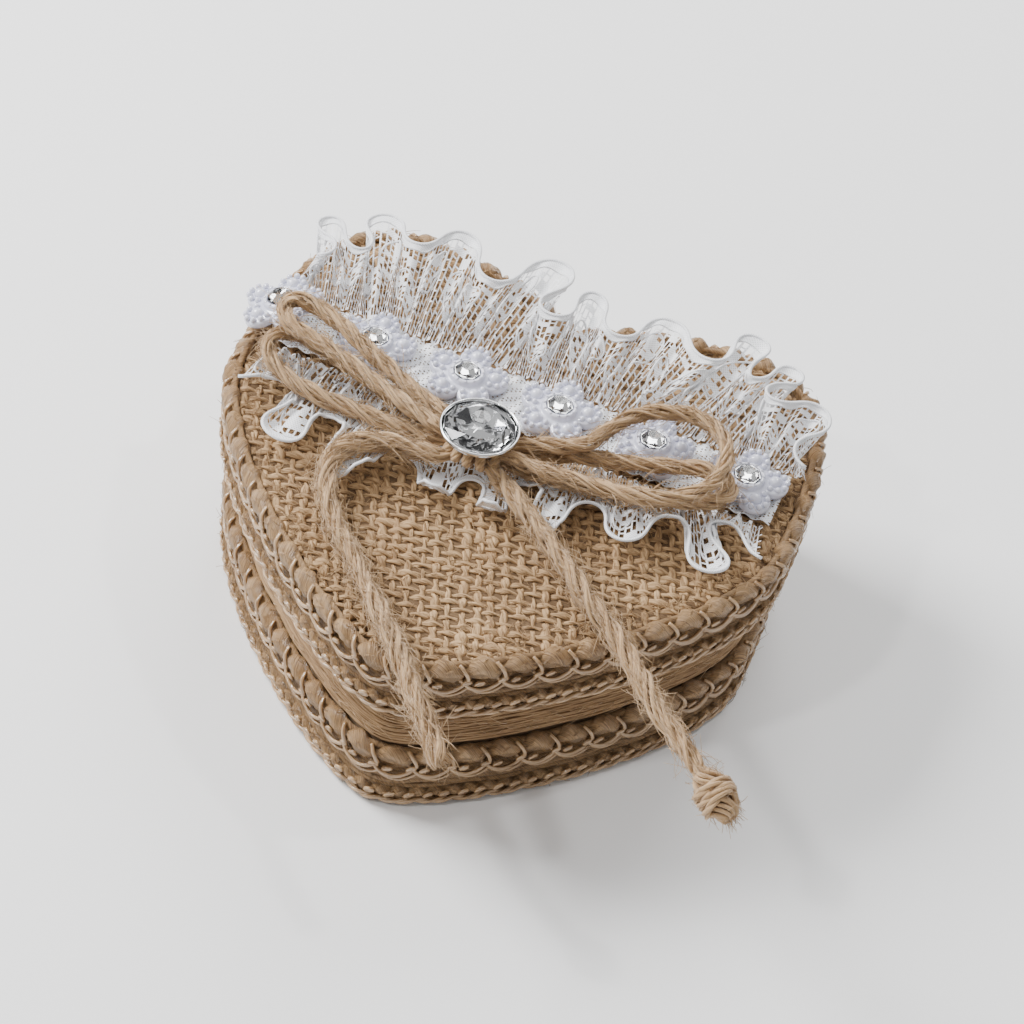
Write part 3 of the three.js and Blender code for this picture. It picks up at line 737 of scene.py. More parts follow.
@dataclass(frozen=True)
class Studio:
    """Camera, soft lights and floor."""

    azimuth: float = 12.52
    elevation: float = 45.14
    roll: float = 11.63
    distance: float = 0.688
    target: Tuple[float, float, float] = (-0.00231, 0.02771, 0.0)
    aim: Tuple[float, float, float] = (0.0, 0.0, 0.03)
    lens: float = 136.6
    sky: float = 0.5

    def set_camera(self) -> None:
        """Makes the camera and looks through it."""
        a, e, r = (math.radians(v) for v in (self.azimuth, self.elevation, self.roll))
        back = Vector((math.sin(a) * math.cos(e), -math.cos(a) * math.cos(e), math.sin(e)))
        right = Vector((math.cos(a), math.sin(a), 0))
        up = back.cross(right)
        data = bpy.data.cameras.new("camera")
        data.lens, data.sensor_width, data.clip_start, data.clip_end = self.lens, 36, 0.01, 20
        camera = bpy.data.objects.new("camera", data)
        across, upward = right * math.cos(r) + up * math.sin(r), up * math.cos(r) - right * math.sin(r)
        turn = Matrix((across, upward, back)).transposed().to_4x4()
        camera.matrix_world = Matrix.Translation(Vector(self.target) + back * self.distance) @ turn
        bpy.context.scene.collection.objects.link(camera)
        bpy.context.scene.camera = camera

    def set_light(self) -> None:
        """Makes the pale world and the soft lights."""
        world = bpy.data.worlds.new("studio")
        bpy.context.scene.world = world
        world.use_nodes = True
        sky = world.node_tree.nodes["Background"]
        Wiring(world.node_tree).set(sky, Color=(1.0, 1.0, 1.0), Strength=self.sky)
        lamps = (
            ("key", (-0.7, 0.05, 0.62), 0.4, 17.0), ("back", (-0.05, 0.75, 0.65), 0.5, 6.0),
            ("spark_left", (-0.3, -0.45, 0.7), 0.05, 1.6), ("spark_right", (0.3, 0.2, 0.85), 0.05, 1.4),
        )
        for name, place, size, power in lamps:
            data = bpy.data.lights.new(name, "AREA")
            data.size, data.energy = size, power
            lamp = bpy.data.objects.new(name, data)
            lamp.location = place
            lamp.rotation_euler = (Vector(self.aim) - lamp.location).to_track_quat("-Z", "Y").to_euler()
            bpy.context.scene.collection.objects.link(lamp)

    def set_floor(self) -> None:
        """Lays the pale floor."""
        bpy.ops.mesh.primitive_plane_add(size=6)
        floor = bpy.context.object
        floor.name = "studio_floor"
        floor.data.materials.append(PaperFinish("studio_floor_paper").material())


# ------------------------------------------------------------------ twine


@dataclass
class Twine:
    """One run of jute twine, laid from plies along a route given in millimetres."""

    node: str
    route: Points
    diameter: float
    far_end: str
    seed: int
    looseness: float = 1.0
    lay: float = 15 * MM
    plies: int = 3
    strands: int = 7
    fuzz_per_mm: float = 15.0
    fuzz_reach: float = 4.4 * MM
    piece: object = None

    def __post_init__(self) -> None:
        """Works out the smooth route."""
        self.line = respaced(smooth_line(metres(self.route), 24), 0.6 * MM)
        self.arc = arc_lengths(self.line)
        self.frames = carried_frames(self.line)

    def strand_lines(self) -> Iterable[Tuple[Array, Array]]:
        """The centre lines of the strands, with their radii."""
        rng = np.random.default_rng(self.seed)
        arc, (_, normal, binormal) = self.arc, self.frames
        ply_radius = self.diameter / 2 / 1.9

        def wobble(span: float) -> Array:
            """A sine wave along the twine, from a random start."""
            return np.sin(arc / (span * MM) + rng.uniform(0, TAU))

        for ply in range(self.plies):
            reach = (self.diameter / 2 - ply_radius) * self.looseness * (1 + 0.16 * wobble(7))
            if self.far_end == "bare":
                reach = reach * (1 + 0.9 * np.clip(1 - (arc[-1] - arc) / (6 * MM), 0, 1) ** 2)
            turn = ply / self.plies * TAU + arc / self.lay * TAU
            middle = self.line + reach[:, None] * turned(turn, normal, binormal)
            for k in range(self.strands):
                inner = k / self.strands * TAU + arc / (self.lay * 2.4) * TAU + rng.uniform(-0.5, 0.5)
                inner = inner + 0.5 * wobble(4.1)
                spread = ply_radius * 0.66 * (1 + 0.28 * wobble(5))
                strand = middle + spread[:, None] * turned(inner, normal, binormal)
                yield strand, ply_radius * 0.4 * (1 + 0.25 * wobble(2.9))

    def build(self, material) -> None:
        """Makes the twine's mesh."""
        stock = Stock()
        steps = np.arange(len(self.line))
        ends = np.clip(np.minimum(steps, steps[::-1]) / 3 + 0.35, 0, 1)
        for number, (line, radius) in enumerate(self.strand_lines()):
            stock.tube(line, radius * ends, 5, strand=self.seed * 20 + number)
        self.piece = stock.object(f"{self.node}_twine", Body.LID, Slot.TWINE, material, replaces=self.node)

    def declare(self, with_pieces: Sequence = ()) -> None:
        """Reads its line's points and keeps none of them."""
        tuple(self.line[0])
        [tuple(p) for p in self.line]

    def fuzz(self, stock: Stock) -> None:
        """Adds the stray fibres that stand off this twine."""
        rng = np.random.default_rng(self.seed + 50)
        tangent, normal, binormal = self.frames
        for _ in range(int(self.arc[-1] / MM * self.fuzz_per_mm)):
            i = int(rng.integers(2, len(self.line) - 2))
            out = turned(rng.uniform(0, TAU), normal[i], binormal[i])
            side = rng.normal(0, 0.5, 3)
            way = tangent[i] * rng.choice([-1, 1]) * rng.uniform(0.7, 1.5)
            way = way + out * rng.uniform(0.0, 1.15) ** 1.5 + side * 0.3
            root = self.line[i] + out * self.diameter * 0.42
            stray_fibre(stock, rng, root, unit(way), rng.uniform(0.3, 1) * self.fuzz_reach, out)

    def lead_in(self, stock: Stock, line: Array, centre: Array) -> None:
        """Carries the strands of one end on into the middle of the bow."""
        _, normal, binormal = carried_frames(line[:6])
        inside = centre + (line[0] - centre) * [0.55, 0.55, 0.4]
        for k in range(10):
            off = turned(k / 10 * TAU, normal[3], binormal[3]) * self.diameter * (0.17 if k % 2 else 0.31)
            strand = smooth_line([line[3] + off, line[0] + off, inside + off * 0.7], 4)
            stock.tube(strand, 0.38 * MM, 5, strand=170 + k)


LOOP_ROUTES = {
    "right_upper": (
        (2.8, 0.8, 43.3), (8.5, 3.1, 43.7), (12.8, 6, 44.3), (15.3, 10, 45.1), (18, 14.2, 45.7),
        (22.6, 17, 46.3), (27.4, 18, 46.7), (31.4, 16.5, 46.7), (34.2, 13.4, 46.6), (35.2, 9.2, 46.3),
        (34.4, 5, 45.9), (32, 1.6, 45.3), (28.2, -0.8, 44.7), (23.5, -2, 44.2), (18.5, -2.4, 43.8),
        (12.8, -2.9, 43.5), (7.6, -3, 43.3), (3, -2.6, 43.3),
    ),
    "right_lower": (
        (2.8, 1.4, 40.4), (7.5, 3.4, 40.7), (12.4, 5.2, 41.3), (19.4, 6.8, 42), (28.4, 9.8, 42.5),
        (33, 11, 42.8), (36.2, 10, 42.8), (37.2, 7.4, 42.6), (35.4, 4.8, 42.3), (31.6, 3.4, 41.8),
        (25.3, 1.8, 41.1), (17.8, 0.6, 40.5), (10.3, -0.8, 40.4), (3, -1.8, 40.4),
    ),
    "left_upper": (
        (-10.8, 1.4, 43.3), (-16.5, 3.2, 43.8), (-21.8, 5.1, 44.4), (-30.4, 9, 45.3), (-35.9, 11.2, 45.8),
        (-39.8, 12.2, 46), (-42.8, 11.4, 46), (-43.4, 8.8, 45.9), (-41.2, 6.2, 45.8), (-35.4, 4.8, 45.5),
        (-28.4, 2.8, 44.9), (-20.4, 0.6, 44.1), (-10.8, -1.8, 43.3),
    ),
    "left_lower": (
        (-10.8, 1.4, 40.4), (-18.9, 3, 40.8), (-28.3, 5.2, 41.7), (-36, 6.9, 42.5), (-40.4, 7.4, 42.7),
        (-43, 5.6, 42.7), (-43.2, 2.6, 42.4), (-41, 0, 42), (-37, -1.8, 41.3), (-33, -2.3, 40.8),
        (-28.4, -2.3, 40.5), (-23, -2.2, 40.4), (-17.6, -2, 40.4), (-10.8, -1.7, 40.4),
    ),
}
TAIL_ROUTES = {
    "left": (
        (-8.8, -5.4, 40.6), (-13.4, -6.4, 40.8), (-18.2, -7.6, 41), (-22, -10.2, 41.1), (-24.2, -14.6, 41),
        (-23, -20, 40.4), (-19, -26, 39.4), (-14, -31, 38.8), (-8.2, -37.2, 38.7), (-3, -43, 38.9),
        (2.5, -49, 38.8), (7.4, -54.8, 38), (11.3, -59.2, 36.9), (15, -62.9, 35.6),
    ),
    "right": (
        (1.2, -5.2, 40.6), (4, -7.2, 40.9), (8, -10.4, 41), (12, -13.6, 40.9), (17.2, -17.6, 40.3),
        (23.2, -22.2, 39.4), (29.3, -26.8, 38.9), (35, -32.2, 38.9), (40.2, -37.6, 38.8),
        (45, -41.4, 38.2), (48.6, -44, 37.4), (51.4, -45.9, 36.6),
    ),
}


class Bow:
    """The twine bow with its middle wraps and the knot at the end of the right tail."""

    loop_twine = 2.7 * MM
    tail_twine = 3.3 * MM
    middle = np.array([-3.9, -1.7, 41.3]) * MM
    half_size = np.array([5.6, 4.6, 2.2]) * MM
    end_half_length = 4.3 * MM
    end_radius = 3.2 * MM
    end_gap = 0.6 * MM

    def __init__(self) -> None:
        """Sets out the loops and the tails."""
        looseness = (1.0, 1.1, 1.15, 1.15)
        self.runs = [
            Twine(f"bow_loop_{side}", route, self.loop_twine, "object", number + 1, looseness[number])
            for number, (side, route) in enumerate(LOOP_ROUTES.items())
        ]
        for side, far_end, seed, fuzz in (("left", "bare", 5, 26.0), ("right", "knot", 6, 20.0)):
            self.runs.append(Twine(f"bow_tail_{side}", TAIL_ROUTES[side], self.tail_twine, far_end, seed,
                                   lay=16 * MM, fuzz_per_mm=fuzz, fuzz_reach=5 * MM))

    def build_end_knot(self, material):
        """The overhand knot that closes the right tail, and its short tuft."""
        end = self.runs[-1].line[-1]
        along = unit(end - self.runs[-1].line[-4])
        half, wide = self.end_half_length, self.end_radius
        centre = end + along * (half + self.end_gap)
        side = unit(np.cross(along, UP))
        up = np.cross(side, along)
        stock = Stock()
        rng = np.random.default_rng(77)
        t = np.linspace(-1, 1, 26)
        start = end - along * 1.5 * MM
        for k in range(26):
            turn = k / 26 * TAU + 1.6 * t + rng.uniform(-0.2, 0.2)
            reach = wide * (0.5 if k % 2 else 0.82) * np.sqrt(np.clip(1 - (t * 0.93) ** 2, 0, 1))
            reach = reach * (1 + 0.1 * np.sin(5 * t + rng.uniform(0, TAU)))
            strand = centre + np.outer(t * half, along) + reach[:, None] * turned(turn, side, up)
            neck = start + (strand[0] - start) * np.linspace(0, 0.85, 5)[:, None]
            strand = np.vstack([neck + 0.25 * (strand[0] - centre + half * along), strand])
            stock.tube(strand, rng.uniform(0.3, 0.45) * MM, 5, strand=200 + k)
        loop = np.linspace(0, TAU, 44, endpoint=False)
        for wrap in range(3):
            tilt = (wrap - 1) * 0.35 + 0.5
            at = centre + along * (wrap - 1) * 1.1 * MM
            for k in range(3):
                lag = loop * 2 + k / 3 * TAU
                shift = half * 0.18 * np.sin(loop + wrap) * tilt + 0.35 * MM * np.sin(lag)
                ring = at + (wide * 0.9 + 0.35 * MM * np.cos(lag))[:, None] * turned(loop, side, up)
                ring = ring + np.outer(shift, along)
                axes = (unit(ring - at), np.tile(along, (44, 1)))
                stock.tube(ring, 0.42 * MM, 5, True, axes, strand=240 + wrap * 3 + k)
        tip = centre + along * half * 0.8
        for _ in range(70):
            root = tip + (side * rng.normal(0, 0.25) + up * rng.normal(0, 0.25)) * wide
            way = unit(along * 1.4 + side * rng.normal(0, 0.4) + up * rng.normal(0, 0.4))
            stray_fibre(stock, rng, root, way, rng.uniform(1.2, 2.6) * MM, up * 0.3)
        for _ in range(160):
            out = unit(side * rng.normal() + up * rng.normal() + along * rng.normal() * 0.4)
            root = centre + out * wide * 0.85 + along * rng.uniform(-0.7, 0.7) * half
            way = unit(out * 0.4 + rng.normal(0, 0.6, 3))
            stray_fibre(stock, rng, root, way, rng.uniform(1.0, 3.0) * MM, out)
        return stock.object("tail_end_knot_twine", Body.LID, Slot.TWINE, material, replaces="tail_end_knot")

    def build_middle(self, material) -> None:
        """The wraps that gather the loops and tails under the gem."""
        stock = Stock()
        t = np.linspace(0, TAU, 64, endpoint=False)
        across = np.tile([1.0, 0.0, 0.0], (64, 1))
        for wrap in range(5):
            off = (wrap - 2) * 2.05 * MM
            shrink = math.sqrt(1 - (off / (self.half_size[0] * 1.05)) ** 2)
            path = self.middle + np.column_stack([
                off + 0.3 * MM * np.sin(t + wrap), self.half_size[1] * 0.8 * shrink * np.cos(t),
                self.half_size[2] * 0.62 * shrink * np.sin(t),
            ])
            up = np.cross(unit(np.roll(path, -1, 0) - np.roll(path, 1, 0)), across)
            for k in range(4):
                strand = path + 0.42 * MM * turned(k / 4 * TAU + t * 3, across, up)
                stock.tube(strand, 0.5 * MM, 6, True, (across, up), strand=150 + wrap * 4 + k)
        for run in self.runs:
            run.lead_in(stock, run.line, self.middle)
            if run.far_end == "object":
                run.lead_in(stock, run.line[::-1], self.middle)
        stock.object("bow_knot_wraps", Body.LID, Slot.TWINE, material, replaces="bow_knot")

    def build(self, material) -> None:
        """Builds every run, then the knots and the fuzz."""
        for run in self.runs:
            run.build(material)
        knot = self.build_end_knot(material)
        fuzz = Stock()
        for run in self.runs:
            run.declare([knot] if run.far_end == "knot" else ())
            run.fuzz(fuzz)
        self.build_middle(material)
        fuzz.object("bow_twine_fuzz", Body.LID, Slot.TWINE, material)


# ------------------------------------------------------------------ braid trims and thread band


@dataclass
class BraidTrim:
    """A jute braid glued round the heart: ground cords, bumps, glossy knots and scallops."""

    name: str
    body: Body
    inner: float
    bottom: float
    top: float
    seed: int
    thickness: float = 2.7 * MM
    pitch: float = 6.1 * MM
    cord: float = 0.62 * MM
    bump_radius: float = 1.55 * MM

    def __post_init__(self) -> None:
        """Sets out the track that the trim follows."""
        self.track = RimTrack(self.inner + self.thickness / 2)
        self.bumps = int(round(self.track.length / self.pitch))
        self.pitch = self.track.length / self.bumps
        self.bump_z = self.top - 1.75 * MM

    def ring(self, stock: Stock, s: Array, line: Array, radius, sides: int, strand: float, flat=1.0) -> None:
        """Adds one cord that runs round the heart."""
        stock.tube(line, radius, sides, True, self.track.axes(s), strand, flat)

    def ground(self, stock: Stock) -> None:
        """The parallel cords that the rest sits on."""
        rng = np.random.default_rng(self.seed)
        rows = int((self.top - self.bottom - 2 * self.cord) / (1.02 * MM))
        s = np.arange(0, self.track.length, 1.0 * MM)
        for row in range(rows + 1):
            z = self.bottom + self.cord + row / rows * (self.top - self.bottom - 2.6 * self.cord)
            sway = 0.14 * MM * self.track.wave(s, rng, 18, 40)
            out = self.cord - self.thickness / 2 + 0.25 * MM + 0.12 * MM * self.track.wave(s, rng, 20, 60)
            self.ring(stock, s, self.track.at(s, out, z + sway), self.cord, 6, row + self.seed)

    def bump_row(self, stock: Stock, height: float, pitch: float, radius: float, out: float,
                 tall: float) -> None:
        """One roll pinched into twisted bumps, with three coils round it."""
        count = int(round(self.track.length / pitch))
        s = np.arange(count * 10) / (count * 10) * self.track.length
        phase = s / self.track.length * count * TAU
        swell = 0.36 + 0.68 * np.abs(np.sin(phase / 2)) ** 0.75
        angles = np.arange(12) / 12 * TAU
        lobes = 1 + 0.13 * np.cos(3 * angles[None, :] + (phase * 1.5)[:, None])
        each = np.random.default_rng(self.seed + 9).uniform(0.9, 1.08, count)
        size = radius * swell * each[np.floor(s / (self.track.length / count)).astype(int) % count]
        z = height + 0.28 * radius * np.sin(phase - 0.6)
        self.ring(stock, s, self.track.at(s, out, z), size[:, None] * lobes, 12, self.seed, tall)
        for strip in range(3):
            turn = phase * 0.5 + strip / 3 * TAU
            coil = self.track.at(s, out + size * 0.86 * np.cos(turn), z + tall * size * 0.86 * np.sin(turn))
            self.ring(stock, s, coil, 0.28 * MM * swell, 5, self.seed + strip)

    def knot_row(self, stock: Stock, z: float, pitch: float, size: float, sides: Sequence[int]) -> None:
        """Small glossy knots, each a loop of thread round a bead."""
        count = int(round(self.track.length / pitch))
        rng = np.random.default_rng(self.seed + 21)
        t = np.linspace(0, TAU, 9)
        for k in range(count):
            start = (k + rng.uniform(-0.06, 0.06)) / count * self.track.length
            for side in sides:
                r = size * rng.uniform(0.9, 1.1)
                up = r * 0.8 * np.sin(t + rng.uniform(0.2, 0.6)) - side * 0.4 * MM
                out = 0.95 * MM + 0.3 * r * np.sin(t)
                line = self.track.at(start + side * 2.1 * MM + r * np.cos(t), out, z + up)
                stock.tube(line, 0.34 * MM, 5, strand=rng.uniform(0, 60))

    def threads(self, stock: Stock) -> None:
        """Pinches, two scallops below each bump, two rows of glossy knots and a twisted foot cord."""
        shapes = (
            (((-1.1, 0.1, 1.2), (-0.35, 1.1, 0.6), (0.25, 1.3, -0.6), (0.45, 0.9, -1.7), (0.1, 0.2, -2.2)),
             0.36, 0),
            (((-0.8, 0.4, -1.8), (0.8, 1.0, -3.2), (2.8, 1.05, -4.0), (4.6, 1.0, -3.6), (6.0, 0.8, -2.5),
              (6.6, 0.4, -1.6)), 0.36, 0.5),
            (((-0.5, 0.3, -2.4), (1.4, 0.8, -4.1), (3.6, 0.85, -4.9), (5.6, 0.7, -4.5), (7.4, 0.3, -3.4)),
             0.3, 0.7),
        )
        for k in range(self.bumps):
            for shape, radius, lag in shapes:
                local = smooth_line(metres(shape), 5)
                line = self.track.at(k * self.pitch + local[:, 0], local[:, 1], self.bump_z + local[:, 2])
                stock.tube(line, radius * MM, 5, strand=k + lag)
        self.knot_row(stock, self.bump_z - 2.2 * MM, self.pitch, 0.62 * MM, (0, 1))
        self.knot_row(stock, self.bottom + 2.6 * MM, self.pitch / 2, 0.7 * MM, (0,))
        s = np.arange(0, self.track.length, 0.5 * MM)
        for lag, radius in ((0, 0.42), (2.2, 0.34)):
            wave = TAU * s / self.pitch + lag
            line = self.track.at(s, 0.55 * MM + 0.25 * MM * np.cos(wave),
                                 self.bottom + 0.75 * MM + 0.3 * MM * np.sin(wave))
            self.ring(stock, s, line, radius * MM, 6, lag)

    def build(self, dull, rolled, glossy) -> None:
        """Builds the trim in its three finishes, then its loose fibres."""
        cords, bumps, threads, hairs = Stock(), Stock(), Stock(), Stock()
        self.ground(cords)
        self.bump_row(bumps, self.bump_z, self.pitch, self.bump_radius, 0.1 * MM, 1.1)
        self.bump_row(bumps, self.bottom + 2.7 * MM, self.pitch / 2, 0.85 * MM, 0.2 * MM, 1.0)
        self.threads(threads)
        rng = np.random.default_rng(self.seed + 70)
        span = (self.bottom + 0.8 * MM, self.top - 0.4 * MM)
        for _ in range(1100):
            self.track.hair(hairs, rng, 0.9 * MM, span, stand=0.7, slant=0.5, reach=3.4, droop=1.0)
        parts = (("ground_cords", cords, dull, self.name), ("twisted_bumps", bumps, rolled, ""),
                 ("glossy_threads", threads, glossy, ""), ("hairs", hairs, dull, ""))
        for part, stock, finish, node in parts:
            stock.object(f"{self.name}_{part}", self.body, Slot.BRAID, finish, replaces=node)


@dataclass
class ThreadWinding:
    """The band of fine jute threads wound round the base wall."""

    bottom: float = 13.9 * MM
    top: float = 24.1 * MM
    inner: float = 0.3 * MM
    thickness: float = 1.1 * MM
    rows: int = 17

    def build(self, material, fibre) -> None:
        """Makes the wound threads in two layers, and their loose fibres."""
        track = RimTrack(self.inner + self.thickness / 2)
        stock, hairs = Stock(), Stock()
        rng = np.random.default_rng(11)
        s = np.arange(0, track.length, 1.0 * MM)
        gap = (self.top - self.bottom) / self.rows
        for layer, out in ((0, -0.12 * MM), (1, 0.12 * MM)):
            for row in range(self.rows - layer):
                sway = sum(0.10 * MM * track.wave(s, rng, 4, 30) for _ in range(3))
                z = self.bottom + (row + 0.5 + 0.5 * layer) * gap + sway
                depth = out + 0.05 * MM * track.wave(s, rng, 20, 50, lag=False)
                line = track.at(s, depth, np.clip(z, self.bottom + 0.3 * MM, self.top - 0.3 * MM))
                stock.tube(line, rng.uniform(0.26, 0.36) * MM, 5, True, track.axes(s), row + layer * 40)
        span = (self.bottom + 1 * MM, self.top - 1 * MM)
        for _ in range(500):
            track.hair(hairs, rng, self.thickness / 2, span, stand=0.5, slant=0.35, reach=4.0, droop=1.4)
        stock.object("jute_thread_winding", Body.BASE, Slot.THREAD, material, replaces="jute_thread_wrap")
        hairs.object("jute_thread_hairs", Body.BASE, Slot.THREAD, fibre)


# ------------------------------------------------------------------ burlap top


@dataclass
class BurlapTop:
    """Coarse plain-woven burlap stretched over the lid board."""

    grow: float = 2.2 * MM
    top: float = 36.5 * MM
    pitch_across: float = 2.25 * MM
    pitch_along: float = 1.78 * MM
    turn: float = math.radians(19)
    yarn: float = 0.62 * MM
    wave: float = 0.27 * MM

    def edge_drop(self, plan: Array) -> Array:
        """How far the cloth bends down near the rim."""
        loop = HEART.outline(self.grow, 1.5 * MM)
        away = np.sqrt(((plan[:, None, :] - loop[None]) ** 2).sum(-1)).min(1)
        return 0.3 * MM * np.clip(1 - away / (2.6 * MM), 0, 1) ** 2

    def ground(self, material):
        """The dark sheet under the yarns: the board between them, darkened as painted shade."""
        stock = Stock()
        levels = ((0.3, 34.4), (0.62, 34.5), (0.62, 35.3), (0.3, 35.6), (-0.8, 35.75))
        rings = [lift3(HEART.outline(self.grow + grow * MM, 1.0 * MM)[:280], z * MM) for grow, z in levels]
        shortest = min(len(r) for r in rings)
        rings = [respaced(np.vstack([r, r[:1]]), 1.0 * MM)[:shortest] for r in rings]
        shortest = min(len(r) for r in rings)
        stock.skin(np.stack([r[:shortest] for r in rings]))
        return stock.object("burlap_shade_backing", Body.LID, Slot.BURLAP, material, replaces="lid_burlap")

    def yarn_run(self, stock: Stock, rng, point: Array, way: Array, side: Array, marks: Array,
                 crossing: float, row: int, kind: int) -> None:
        """One over-and-under yarn, as two strands twisted together.

        Args:
            stock: where the mesh gathers.
            rng: the seeded source of random numbers.
            point: where the yarn's line passes.
            way: its direction in plan.
            side: across it in plan.
            marks: distances of its points along it.
            crossing: pitch of the yarns that it crosses.
            row: its number.
            kind: 0 for weft and 1 for warp.
        """
        phase = math.pi * (marks / crossing + row + kind)
        sway = 0.11 * MM * np.sin(marks / (9 * MM) + row * 1.7)
        sway = sway + 0.07 * MM * np.sin(marks / (2.9 * MM) + row * 5.1)
        plan = point + marks[:, None] * way + sway[:, None] * side
        level = self.top - self.yarn * 0.75 - self.wave
        line = np.column_stack([plan, level + self.wave * np.cos(phase) - self.edge_drop(plan)])
        thick = self.yarn * rng.uniform(0.72, 1.28)
        noise = np.convolve(rng.normal(0, 1, len(marks) + 6), np.ones(7) / 7, "valid")
        wide = thick * np.clip(1 + 0.55 * noise, 0.65, 1.5)
        across, up = np.tile([*side, 0.0], (len(line), 1)), np.tile(UP, (len(line), 1))
        for strand in (0, math.pi):
            turn = marks / (5.3 * MM) * TAU + strand + row
            shift = wide[:, None] * turned(turn, across * 0.42, up * 0.2)
            stock.tube(line + shift, wide * 0.66, 5, axes=(across, up), flat=0.62,
                       strand=row * 2 + kind + 200 + strand)

    def weave(self, material) -> list:
        """The yarns, weft and warp."""
        pieces = []
        rng = np.random.default_rng(5)
        pitches = (self.pitch_along, self.pitch_across)
        for kind, name in enumerate(("burlap_weft_yarns", "burlap_warp_yarns")):
            stock = Stock()
            spacing, crossing = pitches[kind], pitches[1 - kind]
            angle = self.turn + kind * math.pi / 2
            way = np.array([math.cos(angle), math.sin(angle)])
            side = np.array([-way[1], way[0]]) * (1 - 2 * kind)
            for row in range(-40, 41):
                point = side * (row * spacing + rng.uniform(-0.08, 0.08) * spacing)
                for start, end in HEART.spans(self.grow + 0.3 * MM, point, way):
                    if end - start >= 3 * MM:
                        marks = np.arange(start, end, crossing / 4)
                        self.yarn_run(stock, rng, point, way, side, marks, crossing, row, kind)
            pieces.append(stock.object(name, Body.LID, Slot.BURLAP, material))
        return pieces

    def hairs(self, material) -> None:
        """Loose fibres lying on the burlap and along its rim, and one long one."""
        stock = Stock()
        rng = np.random.default_rng(15)
        loop = HEART.outline(self.grow - 1.5 * MM, 0.8 * MM)
        for _ in range(2600):
            if rng.uniform() < 0.35:
                plan = loop[int(rng.integers(0, len(loop)))] + rng.normal(0, 0.8, 2) * MM
            else:
                plan = rng.uniform(-44, 44, 2) * MM
                spans = HEART.spans(self.grow - 2 * MM, plan, np.array([1.0, 0.0]))
                if not any(a < 0 < b for a, b in spans):
                    continue
            turn = rng.uniform(0, TAU)
            way = unit(np.array([math.cos(turn), math.sin(turn), rng.uniform(0.05, 0.5)]))
            root = np.append(plan, self.top - 0.2 * MM)
            stray_fibre(stock, rng, root, way, rng.uniform(1.0, 4.0) * MM, UP)
        loose = metres(((-9, -25, 37), (-6, -26.5, 36.9), (-2, -27.5, 36.9), (1, -27, 36.9), (3, -24, 37)))
        stock.tube(smooth_line(loose, 8), 0.09 * MM, 4, strand=77)
        stock.object("burlap_hairs", Body.LID, Slot.BURLAP, material)

    def build(self, shade_backing_finish, yarn_finish) -> None:
        shade_backing = self.ground(shade_backing_finish)
        yarns = self.weave(yarn_finish)
        loop = HEART.outline(self.grow, 1.0 * MM)
        self.hairs(yarn_finish)


# ------------------------------------------------------------------ lace


